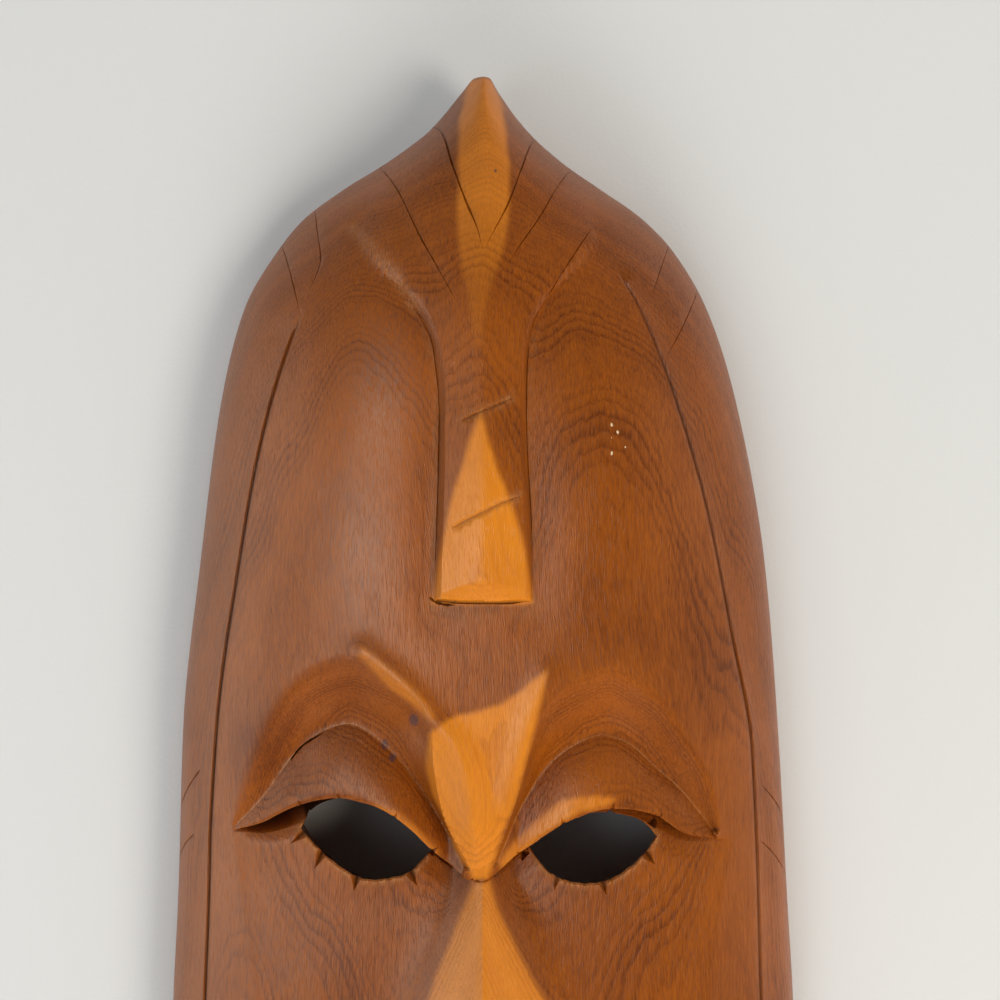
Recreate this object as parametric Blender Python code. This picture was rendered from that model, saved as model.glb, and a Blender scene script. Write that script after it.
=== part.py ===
"""A long carved wooden mask with a crest on its forehead, lying on its back with the face up."""

import bpy
import numpy as np

MM = 0.001

# Places on the face are in millimetres. "Across" is negative on the left of the picture and positive on
# the right, "down" is the distance from the tip of the crest towards the chin, and "up" is the height over
# the table.
# The tables are drawn for one length, and LENGTH stretches or shortens the mask as a whole.
LENGTH = 420.0

# Half widths of the outline: (down, left, right).
OUTLINE = [
    (0.0, 1.7, 1.0), (2.0, 4.6, 2.9), (5.8, 8.4, 5.9), (11.2, 14.0, 10.8), (18.4, 24.4, 19.3),
    (26.1, 37.1, 30.6), (34.0, 47.7, 41.7), (42.0, 54.3, 49.4), (57.8, 63.3, 58.6), (81.5, 69.1, 66.0),
    (123.7, 74.6, 73.6), (165.9, 79.1, 77.1), (208.0, 80.4, 79.4), (250.0, 82.0, 81.4), (310.0, 77.0, 76.5),
    (350.0, 65.5, 65.0), (380.0, 49.5, 49.0), (400.0, 33.5, 33.0), (412.0, 20.0, 19.8), (420.0, 1.3, 1.3),
]

DRAWN_LENGTH = OUTLINE[-1][0]

# Height of the plain dome along the middle: (down, up).
CROWN = [
    (0.0, 20.6), (4.0, 25.0), (10.0, 28.5), (22.0, 33.0), (45.0, 39.0), (75.0, 44.0), (115.0, 47.2),
    (155.0, 48.4), (196.0, 46.5), (255.0, 46.0), (305.0, 45.5), (352.0, 42.5), (381.0, 38.0), (400.0, 31.0),
    (412.0, 22.5), (420.0, 9.0),
]
DOME_FALL = 2.1
DOME_ROUND = 1.8
PROW_FALL = 1.3
PROW_ROUND = 1.15
PROW_ENDS = 90.0

# The edge: its widest line is above the flat rim, and under the tip the rim rises like a bow.
EDGE_UP = 8.0
TIP_EDGE_UP = 4.0
TIP_LIFT = 16.0
TIP_LIFT_LENGTH = 30.0
RIM_TUCK = 2.4

# The crest: half widths (down, left, right), and how far its ridge and its edges stand out (down, up).
CREST = [
    (0.0, 12.0, 12.0), (41.7, 31.0, 28.0), (57.6, 19.2, 17.0), (64.0, 14.4, 13.4), (72.3, 11.4, 10.9),
    (84.1, 10.3, 10.2), (96.0, 10.3, 10.4), (112.7, 10.7, 11.4), (131.7, 11.4, 11.8),
]
RIDGE_OUT = [(0.0, 0.6), (15.7, 2.2), (40.7, 3.4), (71.7, 3.6), (105.7, 4.4), (131.7, 4.6)]
CREST_EDGE_OUT = [(39.0, 0.0), (48.0, 0.8), (71.7, 1.3), (131.7, 1.8)]
RIDGE_SOFT = 1.5
PROW_SOFT = 0.08
CREST_END = 131.7
CREST_SIDE = 0.7
CREST_END_BEVEL = 4.2
VALLEY_DEEP = 0.8
LOBE_OUT = 1.6

# The long groove on each side, as a share of the half width: (down, left, right).
GROOVE = [
    (0.0, 0.60, 0.55), (48.7, 0.66, 0.60), (61.7, 0.70, 0.65), (84.3, 0.758, 0.717), (105.7, 0.795, 0.763),
    (140.5, 0.827, 0.818), (170.7, 0.845, 0.870), (195.7, 0.857, 0.872), (233.7, 0.856, 0.860),
    (315.7, 0.845, 0.845), (355.7, 0.81, 0.81), (385.7, 0.745, 0.745), (405.7, 0.62, 0.62), (420.0, 0.5, 0.5),
]
GROOVE_STARTS = (60.0, 49.0)
GROOVE_ENDS = 392.0
GROOVE_WIDE = 2.0
GROOVE_DEEP = 1.1
BAND_DROP = 0.7

# The eyes. Each line runs from the outer corner to the inner one: (across, down).
EYES = {
    "left": {
        "brow": [(-62.0, 187.7), (-61.0, 179.3), (-57.1, 166.5), (-51.9, 156.5), (-44.2, 148.4),
                 (-36.0, 144.7), (-28.5, 143.9), (-19.8, 150.7), (-12.8, 159.3), (-11.6, 171.7),
                 (-9.1, 183.9), (-2.7, 196.5)],
        "crease": [(-61.6, 188.5), (-54.1, 180.8), (-47.2, 171.1), (-40.1, 164.8), (-31.9, 162.7),
                   (-23.8, 167.6), (-16.5, 176.0), (-10.5, 185.6), (-4.7, 196.6)],
        "margin": [(-61.8, 189.5), (-54.4, 187.1), (-46.9, 183.1), (-38.0, 180.3), (-33.0, 180.1),
                   (-25.3, 182.4), (-17.4, 187.6), (-11.4, 193.5), (-4.7, 198.7)],
        "hole": [(-44.6, 188.2, 188.2), (-42.9, 185.1, 190.3), (-36.4, 181.6, 196.3),
                 (-29.9, 181.6, 199.9), (-23.8, 183.6, 200.2), (-17.6, 188.1, 198.3),
                 (-12.7, 193.5, 193.5)],
        "under": [(4.0, 0.3), (11.0, 1.8), (40.0, 4.6), (47.0, 4.2), (54.0, 2.2), (61.0, 0.0)],
    },
    "right": {
        "brow": [(58.4, 188.7), (57.0, 177.7), (50.6, 165.7), (45.4, 156.6), (38.8, 150.2),
                 (32.6, 147.3), (26.4, 147.6), (20.4, 151.2), (14.6, 157.4), (11.8, 165.2), (8.7, 176.6),
                 (4.0, 191.3), (1.6, 196.7)],
        "crease": [(57.0, 189.9), (52.4, 183.8), (47.4, 178.0), (42.2, 173.5), (35.3, 167.3),
                   (29.0, 165.2), (21.8, 167.6), (16.2, 172.0), (9.6, 181.7), (3.4, 195.1)],
        "margin": [(57.2, 191.3), (49.4, 189.5), (41.7, 184.5), (33.6, 182.6), (26.2, 183.1),
                   (17.4, 187.6), (10.7, 192.0), (2.3, 198.2)],
        "hole": [(42.4, 190.3, 190.3), (39.9, 187.3, 193.7), (33.6, 184.9, 199.0), (27.8, 184.4, 201.2),
                 (21.5, 185.7, 200.9), (15.6, 189.2, 198.3), (11.1, 192.9, 192.9)],
        "under": [(2.0, 0.3), (9.0, 1.8), (36.0, 2.6), (43.0, 2.4), (50.0, 1.2), (56.0, 0.0)],
    },
}
SOCKET_DEEP = [
    (3.0, 3.5), (9.0, 7.4), (15.0, 8.4), (32.0, 8.4), (42.0, 7.4), (50.0, 5.0), (57.0, 2.2), (62.0, 0.3),
]
LID_OUT = [(4.0, 0.8), (12.0, 3.6), (22.0, 5.4), (34.0, 5.4), (46.0, 3.8), (56.0, 1.4), (61.0, 0.3)]
UNDER_LID_REACH = [(0.0, 4.0), (30.0, 7.5), (46.0, 6.5), (61.0, 1.8)]
MARGIN_SOFT = 0.8
HOLE_FLARE = 1.5

# The bridge of the nose and the brow ridges that run into it.
BRIDGE_LEFT = [(-28.5, 144.2), (-20.0, 151.0), (-12.6, 159.5), (-6.7, 165.9), (-3.1, 176.7), (-1.2, 195.7)]
BRIDGE_RIGHT = [(15.4, 149.7), (12.0, 157.7), (8.0, 170.7), (3.5, 185.7), (0.6, 196.7)]
BRIDGE_OUT = (1.7, 1.1)
BRIDGE_WIDE = 3.4
PINCH_DOWN = 197.5
PINCH_DEEP = 2.4

# The cheeks are hollowed inwards from a soft edge: depth (down, mm) and the edge (down, across).
CHEEK_DEEP = [(191.7, 8.4), (225.7, 7.4), (255.7, 5.2), (283.7, 3.2), (320.7, 0.0)]
CHEEK_EDGE = [(188.7, 62.0), (227.7, 55.0), (267.7, 50.0), (320.7, 46.0)]
CHEEK_FROM = 170.0

# The nose: height of its ridge and the steepness of its sides, both by distance down.
NOSE_RIDGE = [
    (197.7, 44.2), (205.7, 47.2), (224.7, 53.0), (245.7, 58.5), (263.7, 63.2), (274.7, 65.6), (280.7, 65.2),
    (286.7, 61.0), (291.7, 53.5), (296.0, 44.0), (303.0, 26.0),
]
NOSE_ROUND = [(197.7, 0.7), (240.0, 1.0), (270.0, 3.0), (303.0, 4.0)]
NOSE_STEEP = [(197.7, 1.35), (212.7, 1.05), (226.7, 0.88), (250.7, 0.92), (267.7, 1.0), (295.7, 1.0)]
NOSE_FOOT_SOFT = 4.0
NOSE_START_STEEP = 1.2
NOSE_END = 303.0
WING_ACROSS = 14.0
WING_DOWN = 275.5
WING_SIZE = (9.0, 13.0)
WING_UP = 56.5
NOSTRIL = (8.0, 287.5)
NOSTRIL_DEEP = 3.2

# The mouth and the chin.
MOUTH_DOWN = 324.0
MOUTH_HALF = 27.0
LIP_HIGH = (12.0, 14.0)
LIP_OUT = (6.2, 6.8)
MUZZLE_OUT = 3.0
CHIN_DOWN = 373.0
CHIN_OUT = 3.4
FOLD_DOWN = 348.5
FOLD_DEEP = 2.4

# The hollow in the back: where it starts and ends, the width of the flat rim, and its height (down, up).
HOLLOW_FROM = 33.0
HOLLOW_TO = 408.0
RIM_WIDE = 11.0
HOLLOW_UP = [
    (33.0, 4.0), (50.0, 19.0), (75.0, 26.5), (115.0, 31.0), (155.0, 32.0), (196.0, 31.0), (265.0, 31.5),
    (315.0, 31.0), (352.0, 28.5), (382.0, 23.0), (400.0, 14.0), (408.0, 4.0),
]
HOLLOW_END_ROUND = 26.0

# How finely the face is cut before it is faceted, and how many facets it keeps.
ROW_STEP = [
    (0.0, 0.3), (3.0, 0.8), (12.0, 1.5), (40.0, 2.0), (124.0, 2.0), (129.0, 0.7), (134.0, 0.7), (140.0, 1.8),
    (155.0, 1.3), (205.0, 1.3), (225.0, 2.0), (267.0, 1.6), (341.0, 1.6), (355.0, 2.4), (400.0, 2.0),
    (412.0, 1.0), (420.0, 0.3),
]
COLUMNS = (9, 34, 10)
FACE_TRIANGLES = 7400

WOOD = (0.30, 0.115, 0.045, 1.0)


def blend(low, high, value):
    share = np.clip((value - low) / (high - low), 0.0, 1.0)
    return share * share * (3.0 - 2.0 * share)


def through(stations, where, loose=False):
    """A smooth line through a few (place, value) stations. Unless it is loose it never swings past them."""
    place, value = np.array(stations, float).T
    step = np.diff(place)
    rise = np.diff(value) / step
    slope = np.concatenate([rise[:1], rise[1:], rise[-1:]])
    if loose:
        slope[1:-1] = (rise[1:] + rise[:-1]) / 2.0
    else:
        same = rise[1:] * rise[:-1] > 0.0
        total = np.where(same, rise[1:] + rise[:-1], 1.0)
        slope[1:-1] = np.where(same, 2.0 * rise[1:] * rise[:-1] / total, 0.0)
    where = np.clip(where, place[0], place[-1])
    at = np.clip(np.searchsorted(place, where, side="right") - 1, 0, len(step) - 1)
    t = (where - place[at]) / step[at]
    start = (1.0 + 2.0 * t) * (1.0 - t) ** 2 * value[at] + t * (1.0 - t) ** 2 * step[at] * slope[at]
    end = t * t * (3.0 - 2.0 * t) * value[at + 1] - t * t * (1.0 - t) * step[at] * slope[at + 1]
    return start + end


def turn(down):
    """The distance down as an angle round the outline, so that a line can leave the tip or chin square on."""
    return np.arccos(1.0 - 2.0 * np.clip(down, 0.0, DRAWN_LENGTH) / DRAWN_LENGTH)


def turned(stations, where, column=1):
    return through([(turn(row[0]), row[column]) for row in stations], turn(where))


def sided(stations, across, down, reader=through):
    """A value given for the left and for the right side."""
    left = reader([(row[0], row[1]) for row in stations], down)
    right = reader([(row[0], row[2]) for row in stations], down)
    return np.where(across < 0.0, left, right)


def drawn(points, count=48):
    """A drawn line through a few points, as short straight steps."""
    points = np.array(points, float)
    length = np.concatenate([[0.0], np.cumsum(np.hypot(*np.diff(points, axis=0).T))])
    where = np.linspace(0.0, length[-1], count)
    across = through(np.column_stack([length, points[:, 0]]), where, loose=True)
    down = through(np.column_stack([length, points[:, 1]]), where, loose=True)
    return np.column_stack([across, down])


def apart(across, down, line):
    """The distance of every point from a drawn line."""
    best = np.full(np.shape(across), 1e9)
    for (ax, ad), (bx, bd) in zip(line[:-1], line[1:]):
        ex, ed = bx - ax, bd - ad
        t = np.clip(((across - ax) * ex + (down - ad) * ed) / (ex * ex + ed * ed), 0.0, 1.0)
        best = np.minimum(best, np.hypot(across - ax - t * ex, down - ad - t * ed))
    return best


def within(across, down, loop):
    """Whether every point is inside a closed loop."""
    inside = np.zeros(np.shape(across), bool)
    for (ax, ad), (bx, bd) in zip(loop, np.roll(loop, -1, axis=0)):
        if ad == bd:
            continue
        crosses = (ad > down) != (bd > down)
        inside ^= crosses & (across < (bx - ax) * (down - ad) / (bd - ad) + ax)
    return inside


def larger(one, other, soft):
    """The larger of two heights, with a soft meeting line."""
    return 0.5 * (one + other + np.sqrt((one - other) ** 2 + soft * soft))


def half_width(across, down):
    return sided(OUTLINE, across, down, turned)


def rim_up(down):
    """The height of the flat rim: on the table, and rising under the tip."""
    return TIP_LIFT * np.clip(1.0 - down / TIP_LIFT_LENGTH, 0.0, 1.0) ** 2


def edge_up(down):
    """The height of the widest line of the edge."""
    return rim_up(down) + TIP_EDGE_UP + (EDGE_UP - TIP_EDGE_UP) * blend(0.0, TIP_LIFT_LENGTH, down)


def dome(across, down):
    share = np.clip(np.abs(across) / half_width(across, down), 0.0, 1.0)
    share = (np.sqrt(share * share + PROW_SOFT**2) - PROW_SOFT) / (np.sqrt(1.0 + PROW_SOFT**2) - PROW_SOFT)
    full = blend(0.0, PROW_ENDS, down)
    fall = PROW_FALL + (DOME_FALL - PROW_FALL) * full
    rounded = PROW_ROUND + (DOME_ROUND - PROW_ROUND) * full
    section = (1.0 - share**fall) ** (1.0 / rounded)
    low = edge_up(down)
    return low + (turned(CROWN, down) - low) * section


def groove_across(across, down):
    return half_width(across, down) * sided(GROOVE, across, down)


def groove(across, down):
    """The cut along each side, and the band outside it, which lies a little lower."""
    off = np.abs(across) - groove_across(across, down)
    start = np.where(across < 0.0, *GROOVE_STARTS)
    fade = blend(start, start + 8.0, down) * (1.0 - blend(GROOVE_ENDS - 10.0, GROOVE_ENDS, down))
    cut = GROOVE_DEEP * np.clip(1.0 - np.abs(off) * 2.0 / GROOVE_WIDE, 0.0, 1.0)
    band = BAND_DROP * blend(0.0, 1.5, off) * (1.0 - blend(3.0, 12.0, off))
    return fade * (cut + band)


def crest(across, down):
    """The ridged bar on the forehead, with the low valleys beside it."""
    half = sided(CREST, across, down)
    out = np.abs(across)
    ridge = through(RIDGE_OUT, down)
    edge = through(CREST_EDGE_OUT, down)
    end_line = CREST_END - 0.4 * (out / half) ** 2
    bevel_line = end_line - CREST_END_BEVEL * np.clip(1.0 - (out / half) ** 2, 0.0, 1.0) - 0.2
    top = half - CREST_SIDE
    roof = edge + (ridge - edge) * np.clip(1.0 - (np.sqrt(out * out + RIDGE_SOFT**2) - 0.6) / top, 0.0, 1.0)
    lowered = np.clip((down - bevel_line) / (end_line - bevel_line), 0.0, 1.0)
    roof = roof - (roof - 1.6) * lowered * 0.8
    side = np.clip((half - out) / CREST_SIDE, 0.0, 1.0)
    behind = 1.0 - np.clip((down - end_line) / 0.9, 0.0, 1.0)
    bar = np.where(out <= top, roof, edge * side) * behind
    valley = blend(44.0, 66.0, down) * (1.0 - blend(CREST_END, CREST_END + 14.0, down))
    near = np.exp(-(((out - half) / 6.0) ** 2)) * ((out > half - 1.0) | (down > end_line))
    lobe = LOBE_OUT * np.exp(-(((out - 33.0) / 15.0) ** 2) - ((down - 98.0) / 36.0) ** 2)
    return bar - VALLEY_DEEP * valley * near + lobe


def bridge(across, down):
    """The two ridges that run from the brows into the bridge of the nose, and the pinch between the eyes."""
    left = apart(across, down, drawn(BRIDGE_LEFT))
    right = apart(across, down, drawn(BRIDGE_RIGHT))
    ridges = BRIDGE_OUT[0] * np.exp(-((left / BRIDGE_WIDE) ** 2))
    ridges = ridges + BRIDGE_OUT[1] * np.exp(-((right / BRIDGE_WIDE) ** 2))
    pinch = np.exp(-(((down - PINCH_DOWN) / 11.0) ** 2)) * np.exp(-((across / 14.0) ** 2))
    return ridges * (1.0 - blend(PINCH_DOWN - 13.5, PINCH_DOWN - 0.5, down)) - PINCH_DEEP * pinch


def eye(across, down, lines):
    """How far the face is cut back round one eye: the scoop under the brow, the lid, and the hollow below."""
    brow = drawn(lines["brow"], 72)
    crease = drawn(lines["crease"])
    margin = drawn(lines["margin"])
    to_brow = apart(across, down, brow)
    to_crease = apart(across, down, crease)
    to_margin = apart(across, down, margin)
    out = np.abs(across)
    deep = through(SOCKET_DEEP, out)
    scoop = deep * np.sin(np.pi / 2.0 * to_brow / (to_brow + to_crease + 1e-9))
    rise = np.sin(np.pi / 2.0 * to_crease / (to_crease + to_margin + 1e-9)) ** 0.9
    lid = deep - through(LID_OUT, out) * rise
    side = (across < 0.0) == (margin[0, 0] < 0.0)
    order = np.argsort(margin[:, 0])
    below = down > np.interp(across, margin[order, 0], margin[order, 1])
    on_lid = within(across, down, np.concatenate([crease, margin[::-1]])) | (below & (to_margin < 2.0) & side)
    cut = np.where(within(across, down, np.concatenate([brow, crease[::-1]])), scoop, 0.0)
    cut = np.where(on_lid, lid, cut)
    reach = through(UNDER_LID_REACH, out)
    under = through(lines["under"], out) * np.clip(1.0 - to_margin / reach, 0.0, 1.0) * (out < 62.0)
    share = blend(-MARGIN_SOFT, MARGIN_SOFT, np.where(below, to_margin, -to_margin))
    return side * (cut * (1.0 - share) + under * share)


def cheek(across, down):
    """The hollow beside the nose, from under the eyes to the mouth."""
    line = np.concatenate([drawn(EYES["left"]["margin"]), drawn(EYES["right"]["margin"])[::-1]])
    below = blend(-0.3, 0.3, down - np.interp(across, line[:, 0], line[:, 1]))
    share = np.clip(np.abs(across) / through(CHEEK_EDGE, down), 0.0, 1.0)
    return below * through(CHEEK_DEEP, down) * (1.0 - share**2) * (down > CHEEK_FROM)


def nose(across, down):
    ridge = through(NOSE_RIDGE, down)
    rounded = through(NOSE_ROUND, down)
    sides = ridge - through(NOSE_STEEP, down) * (np.sqrt(across * across + rounded * rounded) - rounded)
    wing_across = (np.abs(across) - WING_ACROSS) / WING_SIZE[0]
    wing_down = (down - WING_DOWN) / WING_SIZE[1]
    wings = WING_UP - 14.0 * (wing_across**2 + wing_down**2)
    shape = larger(sides, wings, 3.0)
    nostril = ((np.abs(across) - NOSTRIL[0]) / 3.6) ** 2 + ((down - NOSTRIL[1]) / 3.2) ** 2
    shape = shape - NOSTRIL_DEEP * np.exp(-nostril) - NOSE_START_STEEP * np.maximum(PINCH_DOWN - down, 0.0)
    return np.where(down < NOSE_END, shape, -50.0)


def mouth(across, down):
    """Two full lips on a low swelling, and the rounded chin with a fold above it."""
    share = np.clip(1.0 - (across / MOUTH_HALF) ** 2, 0.0, 1.0) ** 0.6
    middle = MOUTH_DOWN + 1.8 * (across / MOUTH_HALF) ** 2
    total = MUZZLE_OUT * np.exp(-((across / 34.0) ** 2) - ((down - MOUTH_DOWN) / 26.0) ** 2)
    for high, out, way in ((LIP_HIGH[0], LIP_OUT[0], -1.0), (LIP_HIGH[1], LIP_OUT[1], 1.0)):
        place = np.clip(way * (down - middle) / (high * np.maximum(share, 0.05)), 0.0, 1.0)
        total = total + out * share * np.sin(np.pi * place**0.7) ** 0.8
    chin = CHIN_OUT * np.exp(-((across / 24.0) ** 2) - ((down - CHIN_DOWN) / 20.0) ** 2)
    fold = FOLD_DEEP * np.exp(-((across / 28.0) ** 2) - ((down - FOLD_DOWN) / 8.0) ** 2)
    return total + chin - fold


def front(across, down):
    """The height of the carved face."""
    up = dome(across, down) + crest(across, down) + bridge(across, down) + mouth(across, down)
    up = up - eye(across, down, EYES["left"]) - eye(across, down, EYES["right"]) - cheek(across, down)
    soft = 0.6 + (NOSE_FOOT_SOFT - 0.6) * blend(PINCH_DOWN, PINCH_DOWN + 16.0, down)
    up = larger(up, nose(across, down), soft)
    return np.maximum(up - groove(across, down), edge_up(down))


def placed(across, down, up):
    """Millimetres on the mask, as metres in the scene."""
    return np.stack([across, (DRAWN_LENGTH / 2.0 - down) * (LENGTH / DRAWN_LENGTH), up], axis=-1) * MM


def row_places():
    places = [0.0]
    while places[-1] < DRAWN_LENGTH:
        places.append(places[-1] + float(through(ROW_STEP, places[-1])))
    return np.array(places) * (DRAWN_LENGTH / places[-1])


def half_columns(side, down):
    """Places across one half of the face, from the edge to the middle, with columns along the groove."""
    sign = np.full(np.shape(down), side)
    edge = half_width(sign, down)
    cut = groove_across(sign, down)
    lip = np.minimum(GROOVE_WIDE / 2.0, 0.3 * (edge - cut))
    bar = np.minimum(sided(CREST, sign, np.minimum(down, CREST_END)), 0.55 * cut)
    outer, face, inner = COLUMNS
    columns = [cut + lip + (edge - cut - lip) * np.sin(np.pi / 2.0 * (1.0 - n / outer)) for n in range(outer)]
    columns += [cut + lip, cut]
    columns += [cut - lip + (bar - cut + lip) * n / face for n in range(face)]
    top = bar - CREST_SIDE * bar / 12.0
    columns += [bar, top]
    columns += [top * (1.0 - n / inner) for n in range(1, inner)]
    return np.stack(columns, axis=1) * side


def inset(down, by):
    """The outline moved inwards by a distance: left points and right points, as (across, down)."""
    sides = []
    for side in (-1.0, 1.0):
        sign = np.full(len(down), side)
        line = np.column_stack([side * half_width(sign, down), down])
        along = np.gradient(line, axis=0)
        along /= np.linalg.norm(along, axis=1)[:, None]
        moved = line + by * side * np.column_stack([-along[:, 1], along[:, 0]])
        moved[:, 0] = np.where(moved[:, 0] * side < 0.3, 0.3 * side, moved[:, 0])
        moved[:, 1] = np.clip(moved[:, 1], by * 0.6, DRAWN_LENGTH - by)
        moved[:, 1] = np.maximum.accumulate(moved[:, 1])
        sides.append(moved)
    return sides


def solid(name, rings):
    """A closed mesh from rings of points, each joined to the next, with its two ends filled."""
    count, size = rings.shape[:2]
    faces = []
    for row in range(count - 1):
        for at in range(size):
            after = (at + 1) % size
            start = (row * size + at, row * size + after)
            faces.append((*start, (row + 1) * size + after, (row + 1) * size + at))
    faces.append(tuple(range(size - 1, -1, -1)))
    faces.append(tuple(range((count - 1) * size, count * size)))
    mesh = bpy.data.meshes.new(name)
    mesh.from_pydata(rings.reshape(-1, 3).tolist(), [], faces)
    mesh.validate()
    obj = bpy.data.objects.new(name, mesh)
    bpy.context.scene.collection.objects.link(obj)
    return obj


def face_solid():
    """The mask before it is hollowed: the carved front, the edge turned under, and a flat back."""
    rows = row_places()
    left, right = half_columns(-1.0, rows), half_columns(1.0, rows)[:, ::-1]
    across = np.concatenate([left, np.zeros((len(rows), 1)), right], axis=1)
    down = np.repeat(rows[:, None], across.shape[1], axis=1)
    top = placed(across, down, front(across, down))
    low, high = rim_up(rows), edge_up(rows)
    under = []
    for by, share in ((0.5, 0.55), (RIM_TUCK * 0.5, 0.18), (RIM_TUCK, 0.0)):
        left, right = inset(rows, by)
        up = low + (high - low) * share
        under.append((placed(left[:, 0], left[:, 1], up), placed(right[:, 0], right[:, 1], up)))
    lefts = np.stack([pair[0] for pair in under[::-1]], axis=1)
    rights = np.stack([pair[1] for pair in under], axis=1)
    return solid("mask", np.concatenate([top, rights, lefts], axis=1)[:, ::-1])


def hollow_cutter():
    """The space inside the mask, open at the back."""
    t = np.linspace(0.0, 1.0, 30)
    rows = HOLLOW_FROM + (HOLLOW_TO - HOLLOW_FROM) * (0.5 - 0.5 * np.cos(np.pi * t)) ** 0.9
    ends = np.minimum(rows - HOLLOW_FROM, HOLLOW_TO - rows) / HOLLOW_END_ROUND
    narrow = np.sqrt(np.clip(1.0 - (1.0 - np.clip(ends, 0.01, 1.0)) ** 2, 0.0, 1.0))
    turns = np.linspace(-1.0, 1.0, 25)
    share = np.sin(np.pi / 2.0 * turns)
    side = np.where(share < 0.0, -1.0, 1.0)[None, :] + 0.0 * rows[:, None]
    down = np.repeat(rows[:, None], len(share), axis=1)
    half = (half_width(side, down) - RIM_WIDE) * narrow[:, None]
    up = through(HOLLOW_UP, down) * (1.0 - np.abs(share)[None, :] ** 2.2) ** (1.0 / 1.9)
    top = placed(share[None, :] * half, down, up)
    base = top[:, [-1, 0]].copy()
    base[..., 2] = -6.0 * MM
    return solid("hollow_cutter", np.concatenate([top, base], axis=1)[:, ::-1])


def eye_cutter(name, hole):
    """One eye hole, cut straight through and a little wider inside."""
    hole = sorted(hole)
    ends = np.pi * (np.arange(12) + 0.5) / 12.0
    across = (hole[0][0] + hole[-1][0]) / 2.0 - (hole[-1][0] - hole[0][0]) / 2.0 * np.cos(ends)
    upper = through([(row[0], row[1]) for row in hole], across, loose=True)
    lower = through([(row[0], row[2]) for row in hole], across, loose=True)
    tips = np.array([(hole[0][0], hole[0][1]), (hole[-1][0], hole[-1][1])])
    sides = [tips[:1], np.column_stack([across, upper]), tips[1:], np.column_stack([across, lower])[::-1]]
    loop = np.concatenate(sides)
    middle = loop.mean(axis=0)
    rings = []
    for up, grow in ((-5.0, HOLE_FLARE), (18.0, HOLE_FLARE), (34.0, 0.0), (80.0, 0.0)):
        away = loop - middle
        away = away / np.linalg.norm(away, axis=1)[:, None]
        ring = loop + away * grow
        rings.append(placed(ring[:, 0], ring[:, 1], np.full(len(ring), up)))
    return solid(name, np.stack(rings))


def outward(obj):
    """Turns a closed mesh the right way out."""
    mesh = obj.data
    points = np.array([vertex.co for vertex in mesh.vertices])
    mesh.calc_loop_triangles()
    corners = points[np.array([triangle.vertices for triangle in mesh.loop_triangles])]
    if np.linalg.det(corners).sum() < 0.0:
        mesh.flip_normals()


def cut_by(obj, cutter):
    outward(cutter)
    cutter.hide_render = True
    cutter.display_type = "WIRE"
    modifier = obj.modifiers.new(cutter.name, "BOOLEAN")
    modifier.operation = "DIFFERENCE"
    modifier.solver = "EXACT"
    modifier.object = cutter


def wood_material():
    material = bpy.data.materials.new("wood")
    material.use_nodes = True
    shader = material.node_tree.nodes["Principled BSDF"]
    shader.inputs["Base Color"].default_value = WOOD
    shader.inputs["Roughness"].default_value = 0.4
    return material


def build():
    for obj in list(bpy.data.objects):
        bpy.data.objects.remove(obj, do_unlink=True)
    mask = face_solid()
    outward(mask)
    triangles = sum(len(face.vertices) - 2 for face in mask.data.polygons)
    facet = mask.modifiers.new("facets", "DECIMATE")
    facet.ratio = FACE_TRIANGLES / triangles
    cut_by(mask, hollow_cutter())
    for name, lines in EYES.items():
        cut_by(mask, eye_cutter(name + "_eye_cutter", lines["hole"]))
    mask.data.materials.append(wood_material())
    for face in mask.data.polygons:
        face.use_smooth = True


build()
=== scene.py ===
"""A long carved wooden mask with a crest on its forehead, lying face up on a pale table."""

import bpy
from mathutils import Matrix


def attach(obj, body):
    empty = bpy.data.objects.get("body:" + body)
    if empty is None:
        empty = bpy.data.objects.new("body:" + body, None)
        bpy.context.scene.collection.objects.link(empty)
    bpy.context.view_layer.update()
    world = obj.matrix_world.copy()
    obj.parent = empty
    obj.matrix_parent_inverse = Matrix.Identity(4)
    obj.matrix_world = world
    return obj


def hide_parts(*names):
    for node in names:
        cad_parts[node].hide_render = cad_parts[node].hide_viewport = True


bl_info = {
    "name": "Carved wooden mask",
    "version": (1, 0, 0),
    "blender": (4, 5, 0),
    "location": "3D View > Sidebar > Mask",
    "description": "Carves the mask, finishes its wood and sets the table and lights",
    "category": "Object",
}

import bpy
import numpy as np
from mathutils import Vector

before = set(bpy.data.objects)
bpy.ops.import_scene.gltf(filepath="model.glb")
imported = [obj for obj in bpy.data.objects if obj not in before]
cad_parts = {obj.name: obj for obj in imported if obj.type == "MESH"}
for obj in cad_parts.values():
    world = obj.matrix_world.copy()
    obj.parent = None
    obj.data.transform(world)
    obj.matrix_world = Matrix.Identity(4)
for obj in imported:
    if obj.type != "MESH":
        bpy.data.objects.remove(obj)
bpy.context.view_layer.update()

MM = 0.001
PIECE = "carved_mask"

# Places on the face are in millimetres. "Across" is negative on the left of the picture and positive on
# the right, "down" is the distance from the tip of the crest towards the chin, and "up" is the height over
# the table.
LENGTH = 420.0

# Half widths of the outline: (down, left, right).
OUTLINE = [
    (0.0, 1.7, 1.0), (2.0, 4.6, 2.9), (5.8, 8.4, 5.9), (11.2, 14.0, 10.8), (18.4, 24.4, 19.3),
    (26.1, 37.1, 30.6), (34.0, 47.7, 41.7), (42.0, 54.3, 49.4), (57.8, 63.3, 58.6), (81.5, 69.1, 66.0),
    (123.7, 74.6, 73.6), (165.9, 79.1, 77.1), (208.0, 80.4, 79.4), (250.0, 82.0, 81.4),
    (310.0, 77.0, 76.5), (350.0, 65.5, 65.0), (380.0, 49.5, 49.0), (400.0, 33.5, 33.0),
    (412.0, 20.0, 19.8), (420.0, 1.3, 1.3),
]

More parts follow.
